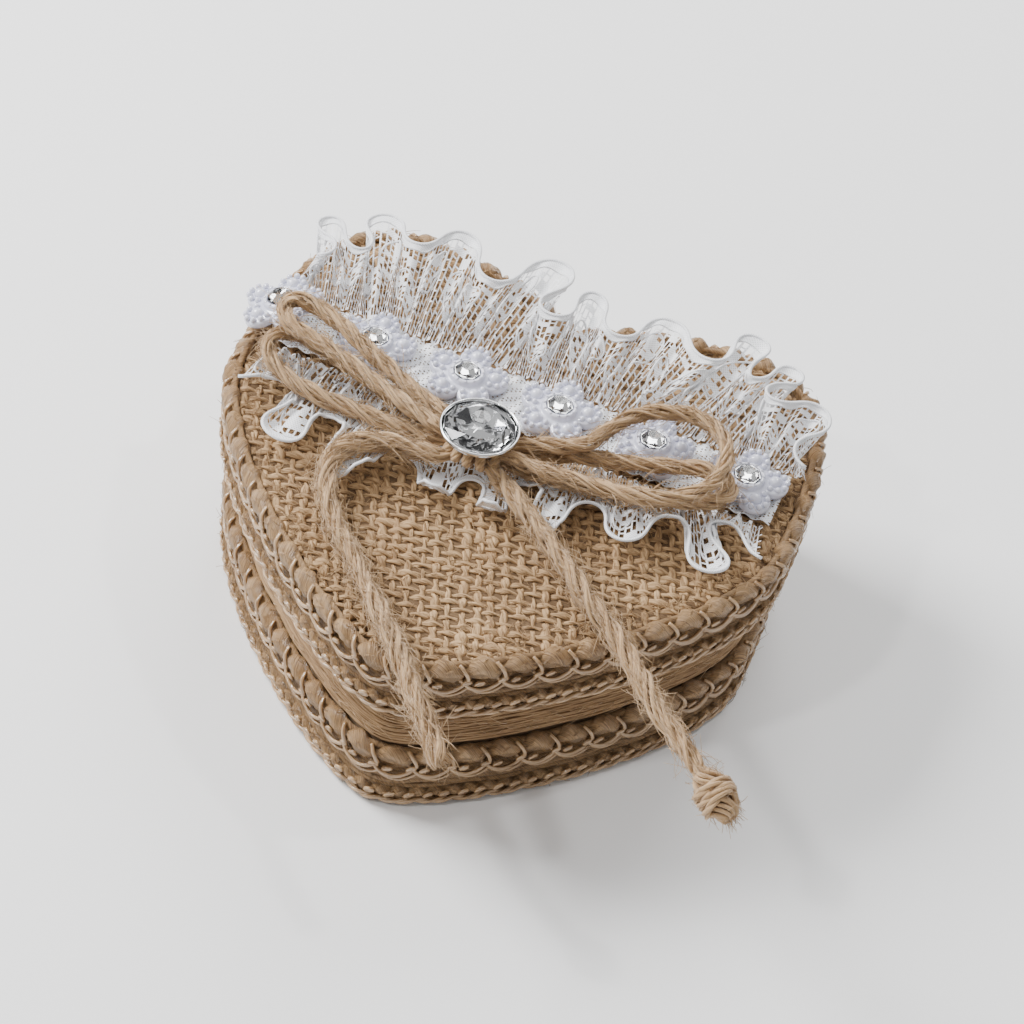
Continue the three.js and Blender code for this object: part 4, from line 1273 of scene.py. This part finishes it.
@dataclass
class LaceRuffle:
    """Gathered lace between a sewn line and a free, folded edge, both laid in millimetres."""

    name: str
    sewn: Points
    edge: Points
    fullness: float
    folds: int
    depth: float
    stand: float
    seed: int
    irregular: float
    tape: float = 1.7 * MM
    gather: float = 1.3 * MM
    turn_up: float = 0.0
    press: Optional[Callable] = None
    mesh_u: float = 1.05 * MM
    mesh_v: float = 0.95 * MM
    thread_share: float = 0.28
    repeat: float = 15 * MM
    leaves: Points = ((0.27, 0.42, 0.5), (0.73, 0.58, -0.5), (0.5, 0.2, 0.0))

    def __post_init__(self) -> None:
        """Lays out the meander of the free edge and the sewn line."""
        rng = np.random.default_rng(self.seed)
        self.base, self.sewn_line = (smooth_line(metres(route), 30) for route in (self.edge, self.sewn))
        self.base_arc, self.sewn_arc = arc_lengths(self.base), arc_lengths(self.sewn_line)
        chord = float(self.base_arc[-1])
        self.cut_length = chord * self.fullness
        self.s = np.linspace(0, self.cut_length, 2400)
        share = self.s / self.cut_length
        phase = TAU * self.folds * share
        for wave in (1, 2, 3):
            drift = np.sin(TAU * wave * 1.3 * share + rng.uniform(0, TAU))
            phase = phase + self.irregular * 2.2 / wave * drift
        swing = 1 + self.irregular * 0.5 * np.sin(TAU * 2.7 * share + rng.uniform(0, TAU))
        low, high = 0.2, 2.4
        for _ in range(40):
            middle = (low + high) / 2
            heading = np.clip(middle * swing, 0, 2.25) * np.sin(phase)
            reach = float(np.cos(heading).mean()) * self.cut_length
            low, high = (middle, high) if reach > chord else (low, middle)
        step = self.s[1] - self.s[0]
        self.along, across = (np.concatenate([[0], np.cumsum(turn * step)])[:-1]
                              for turn in (np.cos(heading), np.sin(heading)))
        across = across - np.interp(self.along, [self.along[0], self.along[-1]], [0, across[-1]])
        self.across = across - across.mean()
        self.phase = phase

    def surface(self, u: Array, v: Array) -> Array:
        """The place of the lace at distances along the cut and shares of its depth.

        Args:
            u: distance along the cut, in metres.
            v: 0 at the sewn line and 1 at the free edge.

        Returns:
            The points.
        """
        along, across, phase = (np.interp(u, self.s, row) for row in (self.along, self.across, self.phase))
        middle, after, before = (read_line(self.base, self.base_arc, along + off)
                                 for off in (0, 0.5 * MM, -0.5 * MM))
        way = unit(after - before)
        side = np.column_stack([-way[:, 1], way[:, 0], np.zeros(len(u))])
        free = middle + side * across[:, None]
        free[:, 2] += self.stand * (0.35 * np.sin(phase * 0.5 + 0.7) + 0.25 * np.cos(phase))
        start = read_line(self.sewn_line, self.sewn_arc, u / self.cut_length * self.sewn_arc[-1])
        blend = v**0.85
        place = start * (1 - blend)[:, None] + free * blend[:, None]
        place[:, 2] += (np.clip(v, 0, 1) ** 1.5 - blend) * (free[:, 2] - start[:, 2]) * 0.8
        pleat = np.sin(TAU * u / (5.2 * MM) + 1.5 * np.sin(u / (11 * MM)))
        fade = np.clip(1 - v, 0, 1) ** 0.7 * np.clip(0.25 + v * 6, 0, 1)
        place[:, 2] += self.gather * fade * (1 + pleat)
        place[:, 2] += self.turn_up * np.clip((v - 0.86) / 0.14, 0, 1)
        return self.press(place) if self.press else place

    def filled(self, u: Array, v: Array) -> Array:
        """Whether the pattern closes the net at a place on the cut."""
        closed = v > 1 - self.tape / self.depth
        for centre, middle, tilt in self.leaves:
            du = (np.mod(u, self.repeat) - centre * self.repeat) / MM
            dv = (v - middle) * self.depth / MM
            a = du * math.cos(tilt) + dv * math.sin(tilt)
            b = -du * math.sin(tilt) + dv * math.cos(tilt)
            ribs = np.floor((a + 3 * np.abs(b) ** 0.8) / 0.9) % 2 == 0
            closed |= ((a / 2.0) ** 2 + (b / 3.9) ** 2 < 1) & ribs
        block = (np.floor(u / (2.3 * MM)) + np.floor(v * self.depth / (2.0 * MM))) % 3 == 0
        return closed | block & (v > 0.66) & (v < 1 - 1.6 * self.tape / self.depth)

    def outline_cords(self, material):
        """The cords along the free edge, along the tape and round two leaves of each repeat."""
        stock = Stock()
        u = np.arange(0, self.cut_length, 0.7 * MM)
        for edge_v, radius in ((0.998, 0.3), (1 - self.tape / self.depth, 0.16)):
            stock.tube(self.surface(u, np.full(len(u), edge_v)), radius * MM, 5, strand=edge_v)
        t = np.linspace(0, TAU, 25)
        a, b = 2.4 * np.cos(t), 4.4 * np.sin(t)
        for number in range(int(self.cut_length / self.repeat)):
            for centre, middle, tilt in self.leaves[:2]:
                u = (number + centre) * self.repeat + (a * math.cos(tilt) - b * math.sin(tilt)) * MM
                v = middle + (a * math.sin(tilt) + b * math.cos(tilt)) * MM / self.depth
                line = self.surface(np.clip(u, 0, self.cut_length), np.clip(v, 0, 1))
                stock.tube(line, 0.2 * MM, 4, strand=number)
        return stock.object(f"{self.name}_edge_cords", Body.LID, Slot.LACE, material)

    def build(self, material) -> None:
        counts = int(self.cut_length / self.mesh_u), int(self.depth / self.mesh_v)
        us, vs = (np.sort(np.concatenate([np.arange(n + 1), np.arange(n) + self.thread_share]))
                  for n in counts)
        us, vs = us * self.mesh_u, vs / counts[1]
        uu, vv = (grid.ravel() for grid in np.meshgrid(us, vs, indexing="ij"))
        column, row = np.arange(len(us) - 1)[:, None], np.arange(len(vs) - 1)[None, :]
        threads = (column % 2 == 0) | ((row % 2 == 0) & ((column // 2 + row // 2) % 2 == 0))
        cells = np.meshgrid((us[:-1] + us[1:]) / 2, (vs[:-1] + vs[1:]) / 2, indexing="ij")
        kept = threads | self.filled(*cells)
        stock = Stock()
        marks = np.column_stack([uu / MM, vv * self.depth / MM, np.zeros(uu.size)])
        stock.net(self.surface(uu, vv), kept, marks)
        piece = stock.object(f"{self.name}_net", Body.LID, Slot.LACE, material, replaces=self.name)
        cords = self.outline_cords(material)
        area = float((np.diff(us)[:, None] * (np.diff(vs)[None, :] * self.depth) * kept).sum())


@dataclass
class LaceTrim:
    """The two ruffles and the gathered heading between them."""

    bow: Bow
    low: float = 37.4 * MM

    def under_twine(self, points: Array) -> Array:
        """Presses lace down where twine passes over it."""
        lines = [run.line[::3] for run in self.bow.runs]
        radius = [np.full(len(line), run.diameter / 2) for line, run in zip(lines, self.bow.runs)]
        half = self.bow.half_size
        wrap = self.bow.middle + np.outer(np.linspace(-1, 1, 9), [half[0], 0, 0])
        for share in (-0.8, 0, 0.8):
            lines.append(wrap + [0, share * half[1], 0])
            radius.append(np.full(9, half[1] * 0.8))
        route, radius = np.vstack(lines), np.concatenate(radius)
        pressed = points.copy()
        for start in range(0, len(points), 4000):
            block = pressed[start : start + 4000]
            past = np.sqrt(((block[:, None, :2] - route[None, :, :2]) ** 2).sum(-1)) - radius
            roof = route[:, 2] - radius - 0.35 * MM + np.clip(past - 1.0 * MM, 0, 1) * 1.6
            limit = np.where(past < 3.0 * MM, roof, 1.0).min(1)
            block[:, 2] = np.minimum(block[:, 2], np.maximum(limit, self.low))
        return pressed

    def heading(self, material) -> None:
        """The gathered strip that the flowers stand on."""
        u, v = np.linspace(-44.8, 44.8, 301) * MM, np.linspace(9.3, 21.7, 43) * MM
        uu, vv = (grid.ravel() for grid in np.meshgrid(u, v, indexing="ij"))
        z = 37.62 * MM + 0.3 * MM * np.sin(TAU * uu / (3.1 * MM) + 2.0 * np.sin(vv / (4 * MM)))
        column, row = np.arange(300)[:, None], np.arange(42)[None, :]
        kept = (column % 2 == 0) | (row % 2 == 0) | (((column // 2) * 3 + (row // 2) * 5) % 4 < 2)
        stock = Stock()
        stock.net(np.column_stack([uu, vv, z]), kept)
        piece = stock.object("lace_heading_net", Body.LID, Slot.LACE, material, replaces="lace_heading")

    def build(self, material) -> None:
        """Builds all three parts of the lace."""
        self.heading(material)
        LaceRuffle(
            "lace_ruffle_back",
            sewn=((-46.5, 21.4, 38.0), (-20, 21.2, 38.0), (10, 21.2, 38.0), (48, 21.4, 38.0)),
            edge=((-46.5, 29, 42.5), (-37.5, 37, 44), (-20, 39.5, 44.2), (0, 36.5, 44.2), (18, 38.5, 44.2),
                  (33, 40, 44), (44, 31, 43.5), (49.5, 22.5, 42)),
            fullness=2.2, folds=9, depth=18 * MM, stand=2.2 * MM, seed=4, irregular=0.4, gather=1.6 * MM,
        ).build(material)
        LaceRuffle(
            "lace_ruffle_front",
            sewn=((-44, 7.9, 37.5), (-20, 7.6, 37.4), (10, 7.6, 37.4), (44, 7.9, 37.5)),
            edge=((-43, -2, 39.2), (-34, -7.5, 39.4), (-20, -9.0, 39.4), (-5, -8.5, 39.4), (12, -7.5, 39.6),
                  (28, -6.5, 39.6), (38, -4, 39.4), (44, 1, 39)),
            fullness=2.3, folds=8, depth=12.6 * MM, stand=1.6 * MM, seed=8, irregular=0.35, tape=1.1 * MM,
            turn_up=1.3 * MM, press=self.under_twine,
        ).build(material)


# ------------------------------------------------------------------ pearl flowers and stones


def spoke(turn: float, reach: float, height: float) -> Array:
    """A point at an angle, distance and height from the origin."""
    return np.array([math.cos(turn) * reach, math.sin(turn) * reach, height])


def ring_of(count: int, radius: float, height: float, lag: float = 0.0) -> Array:
    """Evenly spaced points round the vertical axis; radius and height in millimetres."""
    turn = (np.arange(count) + lag) / count * TAU
    return np.column_stack([radius * np.cos(turn), radius * np.sin(turn), np.full(count, height)]) * MM


def cut_piece(name: str, corners: Points, count: int, place: Callable, slot: Slot, material,
              replaces: str = ""):
    """A faceted piece.

    Args:
        name: its name.
        corners: radius and height of each ring of corners in millimetres, and how far it is turned.
        count: corners in each ring.
        place: moves points to the place of the piece.
        slot: its slot; not used.
        material: its finish.
        replaces: the node that it stands for.

    Returns:
        The piece.
    """
    stock = Stock()
    stock.facets([place(ring_of(count, *corner)) for corner in corners])
    return stock.object(name, Body.LID, slot, material, smooth=False, replaces=replaces)


def shade_facets(piece, material, sectors: int) -> None:
    """Gives two facets in five round a foil's axis the second, darker mirror, as painted dark reflections.
    """
    piece.data.materials.append(material)
    middle = sum((v.co for v in piece.data.vertices), Vector()) / len(piece.data.vertices)
    for facet in piece.data.polygons:
        off = facet.center - middle
        sector = int(math.floor(math.atan2(off.y, off.x) / TAU * sectors))
        facet.material_index = int((sector * 7 + int(off.length / (1.7 * MM)) * 3) % 5 < 2)


@dataclass
class PearlFlower:
    """One moulded flower with its foil-backed stone."""

    number: int
    centre: Tuple[float, float, float]
    tilt: float
    petals: int = 5
    ring: float = 4.5 * MM
    overlap: float = 0.1 * MM
    plate: float = 1.4 * MM
    bead: float = 0.56 * MM
    boss_radius: float = 3.1 * MM
    boss_height: float = 2.5 * MM

    def placed(self, points: Array) -> Array:
        """Points of the flower moved to its place on the lid."""
        turn = Matrix.Rotation(math.radians(-self.tilt), 3, "Y") @ Matrix.Rotation(math.pi / 2, 3, "Z")
        return points @ np.array(turn).T + np.array(self.centre)

    def on_boss(self, points: Array) -> Array:
        """Points measured from the top of the boss moved to their place on the lid."""
        return self.placed(points + UP * self.boss_height)

    def outline(self, count: int = 90) -> Array:
        """Outline of the petals' union."""
        radius = self.ring * math.sin(math.pi / self.petals) + self.overlap
        angle = np.arange(count) / count * TAU
        sector = TAU / self.petals
        off = angle - np.round(angle / sector) * sector
        reach = self.ring * np.cos(off) + np.sqrt(np.maximum(radius**2 - (self.ring * np.sin(off)) ** 2, 0))
        return np.column_stack([reach * np.cos(angle), reach * np.sin(angle)])

    def moulding(self, material) -> None:
        """The petal plate, its pearls and the boss."""
        stock = Stock()
        edge = self.outline()
        plate = ((0.985, 0), (1, 0.3), (1, 0.8), (0.975, 1.15), (0.93, 1.3))
        boss = ((3.3, 1.45), (3.1, 1.6), (3.08, 2.15), (2.85, 2.45), (2.5, 2.5), (2.32, 2.42), (2.3, 2.1),
                (2.25, 1.6))
        rings = [lift3(edge * share, height * MM) for share, height in plate]
        rings += [lift3(unit(edge) * radius * MM, height * MM) for radius, height in boss]
        stock.skin(np.stack([self.placed(r) for r in rings]))
        for petal in range(self.petals):
            angle = petal / self.petals * TAU
            middle = spoke(angle, self.ring * 1.08, self.plate - 0.15 * MM)
            stock.ball(self.placed(middle), 1.1875 * MM, 7, 14)
            for k in range(9):
                spot = middle + spoke(angle + (k - 4) / 9 * TAU * 0.98, 1.98 * MM, 0.31 * MM)
                if np.linalg.norm(spot[:2]) >= self.boss_radius + 0.3 * MM:
                    stock.ball(self.placed(spot), self.bead, 5, 8)
        for k in range(12):
            spot = spoke((k + 0.5) / 12 * TAU, 2.72 * MM, self.boss_height - 0.1 * MM)
            stock.ball(self.placed(spot), 0.3 * MM, 4, 6)
        name = f"pearl_flower_{self.number}"
        stock.object(f"{name}_moulding", Body.LID, Slot.PEARL, material, replaces=name)

    def stones(self, crystal, foil, dark_reflection_foil) -> None:
        """The cut stone and the foil behind it."""
        name = f"flower_stone_{self.number}"
        cut_piece(f"{name}_cut", ((1.6, -0.5, 0), (2, 0, 0.5), (1.96, 0.12, 0.5), (1.1, 1.0, 0)), 8,
                  self.on_boss, Slot.CRYSTAL, crystal, name)
        back = cut_piece(
            f"{name}_foil",
            ((0.25, -0.84, 0), (1.24, -0.72, 0.5), (2.2, -0.25, 0), (2.24, 0, 0), (2.12, 0, 0),
             (1.72, -0.56, 0), (0.3, -0.74, 0.5)),
            8, self.on_boss, Slot.SILVER, foil,
        )
        shade_facets(back, dark_reflection_foil, 12)


class CentreGem:
    """The large round crystal in its plated cup."""

    centre = np.array([-3.9, -1.7, 46.1]) * MM

    def placed(self, points: Array) -> Array:
        """Points measured from the middle of the girdle moved to their place."""
        return points + self.centre

    def build(self, crystal, foil, dark_reflection_foil, silver) -> None:
        """Builds cup, foil and crystal."""
        cup = Stock()
        profile = ((0.05, -2.3), (3.3, -2.3), (3.5, -2.2), (6.45, -0.5), (6.68, -0.2), (6.7, 0.2),
                   (6.6, 0.42), (6.42, 0.42), (6.3, 0.25), (6.3, -0.2), (3.35, -1.86), (0.05, -1.88))
        cup.skin(np.stack([self.placed(ring_of(72, *point)) for point in profile]))
        cup.object("gem_cup_plated", Body.LID, Slot.SILVER, silver, replaces="gem_cup")
        back = cut_piece(
            "gem_foil",
            ((0.2, -1.76, 0), (3.4, -1.74, 0.5), (6.15, -0.02, 0), (6.05, 0.08, 0), (4.1, -1.05, 0.5),
             (2.0, -1.5, 0), (0.15, -1.66, 0.5)),
            12, self.placed, Slot.SILVER, foil,
        )
        shade_facets(back, dark_reflection_foil, 16)
        cut_piece(
            "gem_crystal",
            ((0.3, -0.95, 0), (3.0, -0.6, 0.5), (5.92, 0.12, 0), (5.92, 0.3, 0), (4.2, 1.6, 0.5),
             (1.5, 2.6, 0)),
            12, self.placed, Slot.CRYSTAL, crystal, "gem_stone",
        )


# ------------------------------------------------------------------ inside of the box


@dataclass
class RingCushion:
    """The padded heart in the base, with the ribbon that holds the rings."""

    bottom: float = 1.9 * MM
    side: float = 8.2 * MM
    crown: float = 8.0 * MM
    inset: float = -2.4 * MM
    cap: float = 4 * MM
    piece: object = None

    def build(self, cotton) -> None:
        """Makes the cushion, puffed up by a short cloth run."""
        stock = Stock()
        edge = HEART.outline(self.inset, 2.0 * MM) * 0.965
        levels = [(0.80, 0.2), (0.94, 1.2), (1.0, 3.5), (1.0, self.side / MM - 1),
                  (0.97, self.side / MM + 1.2)]
        for scale in (0.88, 0.7, 0.45, 0.2, 0.04):
            levels.append((scale, (self.side + self.crown * 0.92 * math.sqrt(1 - scale**2)) / MM))
        stock.skin(np.stack([lift3(edge * scale, self.bottom + height * MM) for scale, height in levels]))
        self.piece = stock.object("ring_cushion_cloth", Body.BASE, Slot.COTTON, cotton,
                                  replaces="ring_cushion")
        self.soften()
        self.seam(cotton)

    def soften(self) -> None:
        """Remeshes and inflates the cushion inside its space."""
        piece = self.piece
        bpy.context.view_layer.objects.active = piece
        remesh = piece.modifiers.new("remesh", "REMESH")
        remesh.mode = "VOXEL"
        remesh.voxel_size = 3.2 * MM
        self.apply(piece)
        rest = np.array([v.co for v in piece.data.vertices])
        cloth = piece.modifiers.new("cloth", "CLOTH").settings
        cloth.use_pressure = True
        cloth.uniform_pressure_force = 3.0
        cloth.effector_weights.gravity = 0
        cloth.quality = 5
        scene = bpy.context.scene
        for number in range(1, 19):
            scene.frame_set(number)
        self.apply(piece)
        scene.frame_set(1)
        move = np.array([v.co for v in piece.data.vertices]) - rest
        size = np.maximum(np.linalg.norm(move, axis=1, keepdims=True), 1e-9)
        now = self.kept_inside(rest + move / size * np.minimum(size, self.cap))
        piece.data.vertices.foreach_set("co", now.astype(np.float32).ravel())
        piece.data.update()
        smooth = piece.modifiers.new("subdivision", "SUBSURF")
        smooth.levels = smooth.render_levels = 1
        self.apply(piece)
        piece.data.shade_smooth()

    def kept_inside(self, points: Array) -> Array:
        """Points held inside the tray and under the ribbon, with a sewn dimple line."""
        loop = HEART.outline(self.inset, 1.0 * MM)
        edge_angle = np.arctan2(loop[:, 1], loop[:, 0])
        order = np.argsort(edge_angle)
        reach = np.interp(np.arctan2(points[:, 1], points[:, 0]), edge_angle[order],
                          np.linalg.norm(loop, axis=1)[order], period=TAU)
        far = np.linalg.norm(points[:, :2], axis=1)
        held = points.copy()
        held[:, :2] *= np.minimum(1, (reach - 0.2 * MM) / np.maximum(far, 1e-9))[:, None]
        ratio = np.clip(np.linalg.norm(held[:, :2], axis=1) / np.maximum(reach, 1e-9), 0, 1)
        roof = self.bottom + self.side + self.crown * np.sqrt(np.maximum(1 - ratio**2, 0.02)) - 0.1 * MM
        dimple = 1.6 * MM * np.exp(-((held[:, 1] / (2.2 * MM)) ** 2) - (held[:, 0] / (19 * MM)) ** 4)
        held[:, 2] = np.clip(held[:, 2], self.bottom, roof - dimple)
        return held

    @staticmethod
    def apply(piece) -> None:
        """Turns the piece's modifiers into its mesh."""
        graph = bpy.context.evaluated_depsgraph_get()
        shape = bpy.data.meshes.new_from_object(piece.evaluated_get(graph))
        shape.name = f"{piece.name}_shape"
        piece.modifiers.clear()
        piece.data = shape

    def surface(self) -> BVHTree:
        """The finished cushion as a tree for finding points on it."""
        mesh = self.piece.data
        return BVHTree.FromPolygons([v.co for v in mesh.vertices], [p.vertices for p in mesh.polygons])

    def seam(self, cotton) -> None:
        """The piped seam round the cushion and its stitches."""
        tree = self.surface()
        track = RimTrack(self.inset)
        s = np.arange(0, track.length, 0.8 * MM)
        outward = track.axes(s)[0]
        start = track.at(s, 3 * MM, self.bottom + self.side * 0.98)
        line = []
        for point, out in zip(start, outward):
            hit = tree.ray_cast(Vector(point), Vector(-out), 20 * MM)[0]
            line.append(list(hit) if hit else list(point - out * 3.2 * MM))
        line = np.array(line) - outward * 0.1 * MM
        for _ in range(3):
            line = (line + np.roll(line, 1, 0) + np.roll(line, -1, 0)) / 3
        stock = Stock()
        stock.tube(line, 0.55 * MM, 8, True, track.axes(s), strand=1)
        t = np.linspace(-0.5, 0.5, 4)[:, None]
        for k in range(0, len(line), 3):
            way = unit(np.roll(line, -1, 0)[k] - line[k])
            stitch = line[k] + UP * 0.62 * MM - outward[k] * 0.3 * MM + way * t * 1.5 * MM
            stock.tube(stitch, 0.1 * MM, 4, strand=2)
        stock.object("ring_cushion_piping", Body.BASE, Slot.COTTON, cotton)

    def ribbon(self, satin) -> None:
        """The satin ribbon, sewn down at its middle and ends."""
        tree = self.surface()
        stock = Stock()
        line = []
        for value in np.linspace(-17, 17, 69) * MM:
            puff = 0.7 * MM * abs(math.sin(value / (16.5 * MM) * math.pi))
            hit = tree.ray_cast(Vector((value, 0, 60 * MM)), Vector((0, 0, -1)))[0]
            line.append([value, 0.25 * MM * math.sin(value / (5 * MM)), hit.z + 0.1 * MM + puff])
        line = np.array(line)
        section = ((-2, -0.12), (-2, 0.12), (-1, 0.192), (1, 0.192), (2, 0.12), (2, -0.12))
        stock.skin(np.stack([line + np.array([0, dy, dz]) * MM for dy, dz in section], axis=1))
        t = np.linspace(0, math.pi, 7)
        for place in (0.0, -16.0, 16.0):
            height = float(np.interp(place * MM, line[:, 0], line[:, 2]))
            for k in range(5):
                base = np.array([place * MM, (k - 2) * 0.75 * MM, height + 0.1 * MM])
                arc = base + turned(t, np.array([0.7 * MM, 0, 0]), UP * 0.4 * MM)
                stock.tube(arc, 0.12 * MM, 5)
        stock.object("ring_tie_ribbon_satin", Body.BASE, Slot.SATIN, satin, replaces="ring_tie_ribbon")


# ------------------------------------------------------------------ whole box


class RingBox:
    """The whole ring box."""

    flower_pitch = 16.79 * MM
    first_flower = -45.6 * MM
    flower_row = 15.5 * MM
    flower_bottom = 38.3 * MM
    first_lift = 1.3 * MM
    first_tilt = 20.0

    def build_jute(self) -> Bow:
        """Builds the pieces of jute: bow, burlap, braids and thread band.

        Returns:
            The bow.
        """
        twine = JuteFinish("jute_twine_hairy", light=(0.68, 0.463, 0.252), middle=(0.46, 0.279, 0.126),
                           dark=(0.22, 0.109, 0.0378), across=6.0, sheen=0.3, roughness=0.72).material()
        bow = Bow()
        bow.build(twine)
        burlap = JuteFinish("burlap_yarn", light=(0.6, 0.397, 0.21), middle=(0.36, 0.213, 0.0966),
                            dark=(0.14, 0.068, 0.0252), across=4.0, roughness=0.7).material()
        # Dark colours of the sheet under the yarns: painted shade in the gaps between them.
        shade_backing = JuteFinish("burlap_shadow_cloth", light=(0.2, 0.123, 0.063), middle=(0.14, 0.085, 0.042),
                             dark=(0.07, 0.0378, 0.0168), roughness=0.9).material()
        BurlapTop().build(shade_backing, burlap)
        dull = JuteFinish("jute_braid_soft", light=(0.5, 0.307, 0.143), middle=(0.3, 0.165, 0.0672),
                          dark=(0.1, 0.0454, 0.0151), across=5.5, twist=1.0, roughness=0.42,
                          specular=0.6, bump=0.9).material()
        rolled = JuteFinish("jute_braid_rolled", light=(0.62, 0.39, 0.19), middle=(0.41, 0.232, 0.095),
                            dark=(0.12, 0.055, 0.019), across=5.5, twist=1.0, roughness=0.36,
                            specular=0.7, bump=1.0).material()
        glossy = JuteFinish("jute_braid_glossy", light=(0.58, 0.385, 0.205), middle=(0.36, 0.21, 0.094),
                            dark=(0.16, 0.079, 0.03), across=3.0, roughness=0.2, specular=1.0,
                            bump=0.3).material()
        BraidTrim("base_braid", Body.BASE, 0.3 * MM, 0.5 * MM, 13.6 * MM, seed=3).build(dull, rolled, glossy)
        BraidTrim("lid_braid", Body.LID, 2.5 * MM, 24.4 * MM, 37.0 * MM, seed=31).build(dull, rolled, glossy)
        thread = JuteFinish("jute_thread_fine", light=(0.47, 0.298, 0.151), middle=(0.29, 0.165, 0.0756),
                            dark=(0.11, 0.0548, 0.0202), across=7.0, roughness=0.7).material()
        ThreadWinding().build(thread, twine)
        return bow

    def build_jewels(self) -> None:
        """Builds the pearl flowers and the gem."""
        pearl = PearlFinish("pearl_plastic_white").material()
        crystal = CrystalFinish("clear_crystal_cut").material()
        foil = MetalFinish("mirror_foil", (0.99, 0.99, 0.99), (0.93, 0.94, 0.96), 0.09).material()
        # Near-black mirror for some foil facets: painted dark reflections in the stones.
        dark_reflection_foil = MetalFinish("mirror_foil_painted_dark", (0.015, 0.015, 0.02), (0.05, 0.05, 0.055), 0.02).material()
        silver = MetalFinish("silver_plate", roughness=0.12).material()
        for number in range(6):
            lift, tilt = (self.first_lift, self.first_tilt) if number == 0 else (0.0, 0.0)
            across = self.first_flower + number * self.flower_pitch
            flower = PearlFlower(number + 1, (across, self.flower_row, self.flower_bottom + lift), tilt)
            flower.moulding(pearl)
            flower.stones(crystal, foil, dark_reflection_foil)
        CentreGem().build(crystal, foil, dark_reflection_foil, silver)

    def build(self) -> None:
        """Builds every piece in order."""
        LaceTrim(self.build_jute()).build(LaceFinish("white_lace_yarn").material())
        self.build_jewels()
        cushion = RingCushion()
        cushion.build(ClothFinish("cushion_cotton_cream", (0.84, 0.80, 0.71), (0.66, 0.61, 0.52), 12.0, 0.85,
                                  0.2).material())
        cushion.ribbon(ClothFinish("satin_ivory", (0.80, 0.72, 0.56), (0.60, 0.51, 0.37), 30.0, 0.32,
                                   0.5).material())
        board = BoardFinish("kraft_board_brown").material()
        for name in ("base_floor", "base_wall", "lid_skirt", "lid_board"):
            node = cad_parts[name]
            node.data.materials.clear()
            node.data.materials.append(board)
            log.info("%s: dressed", name)


def main() -> None:
    """Builds the studio and the box."""
    logging.basicConfig(level=logging.INFO, format="%(name)s %(message)s")
    studio = Studio()
    studio.set_camera()
    RingBox().build()
    studio.set_light()
    studio.set_floor()


if __name__ == "__main__":
    main()
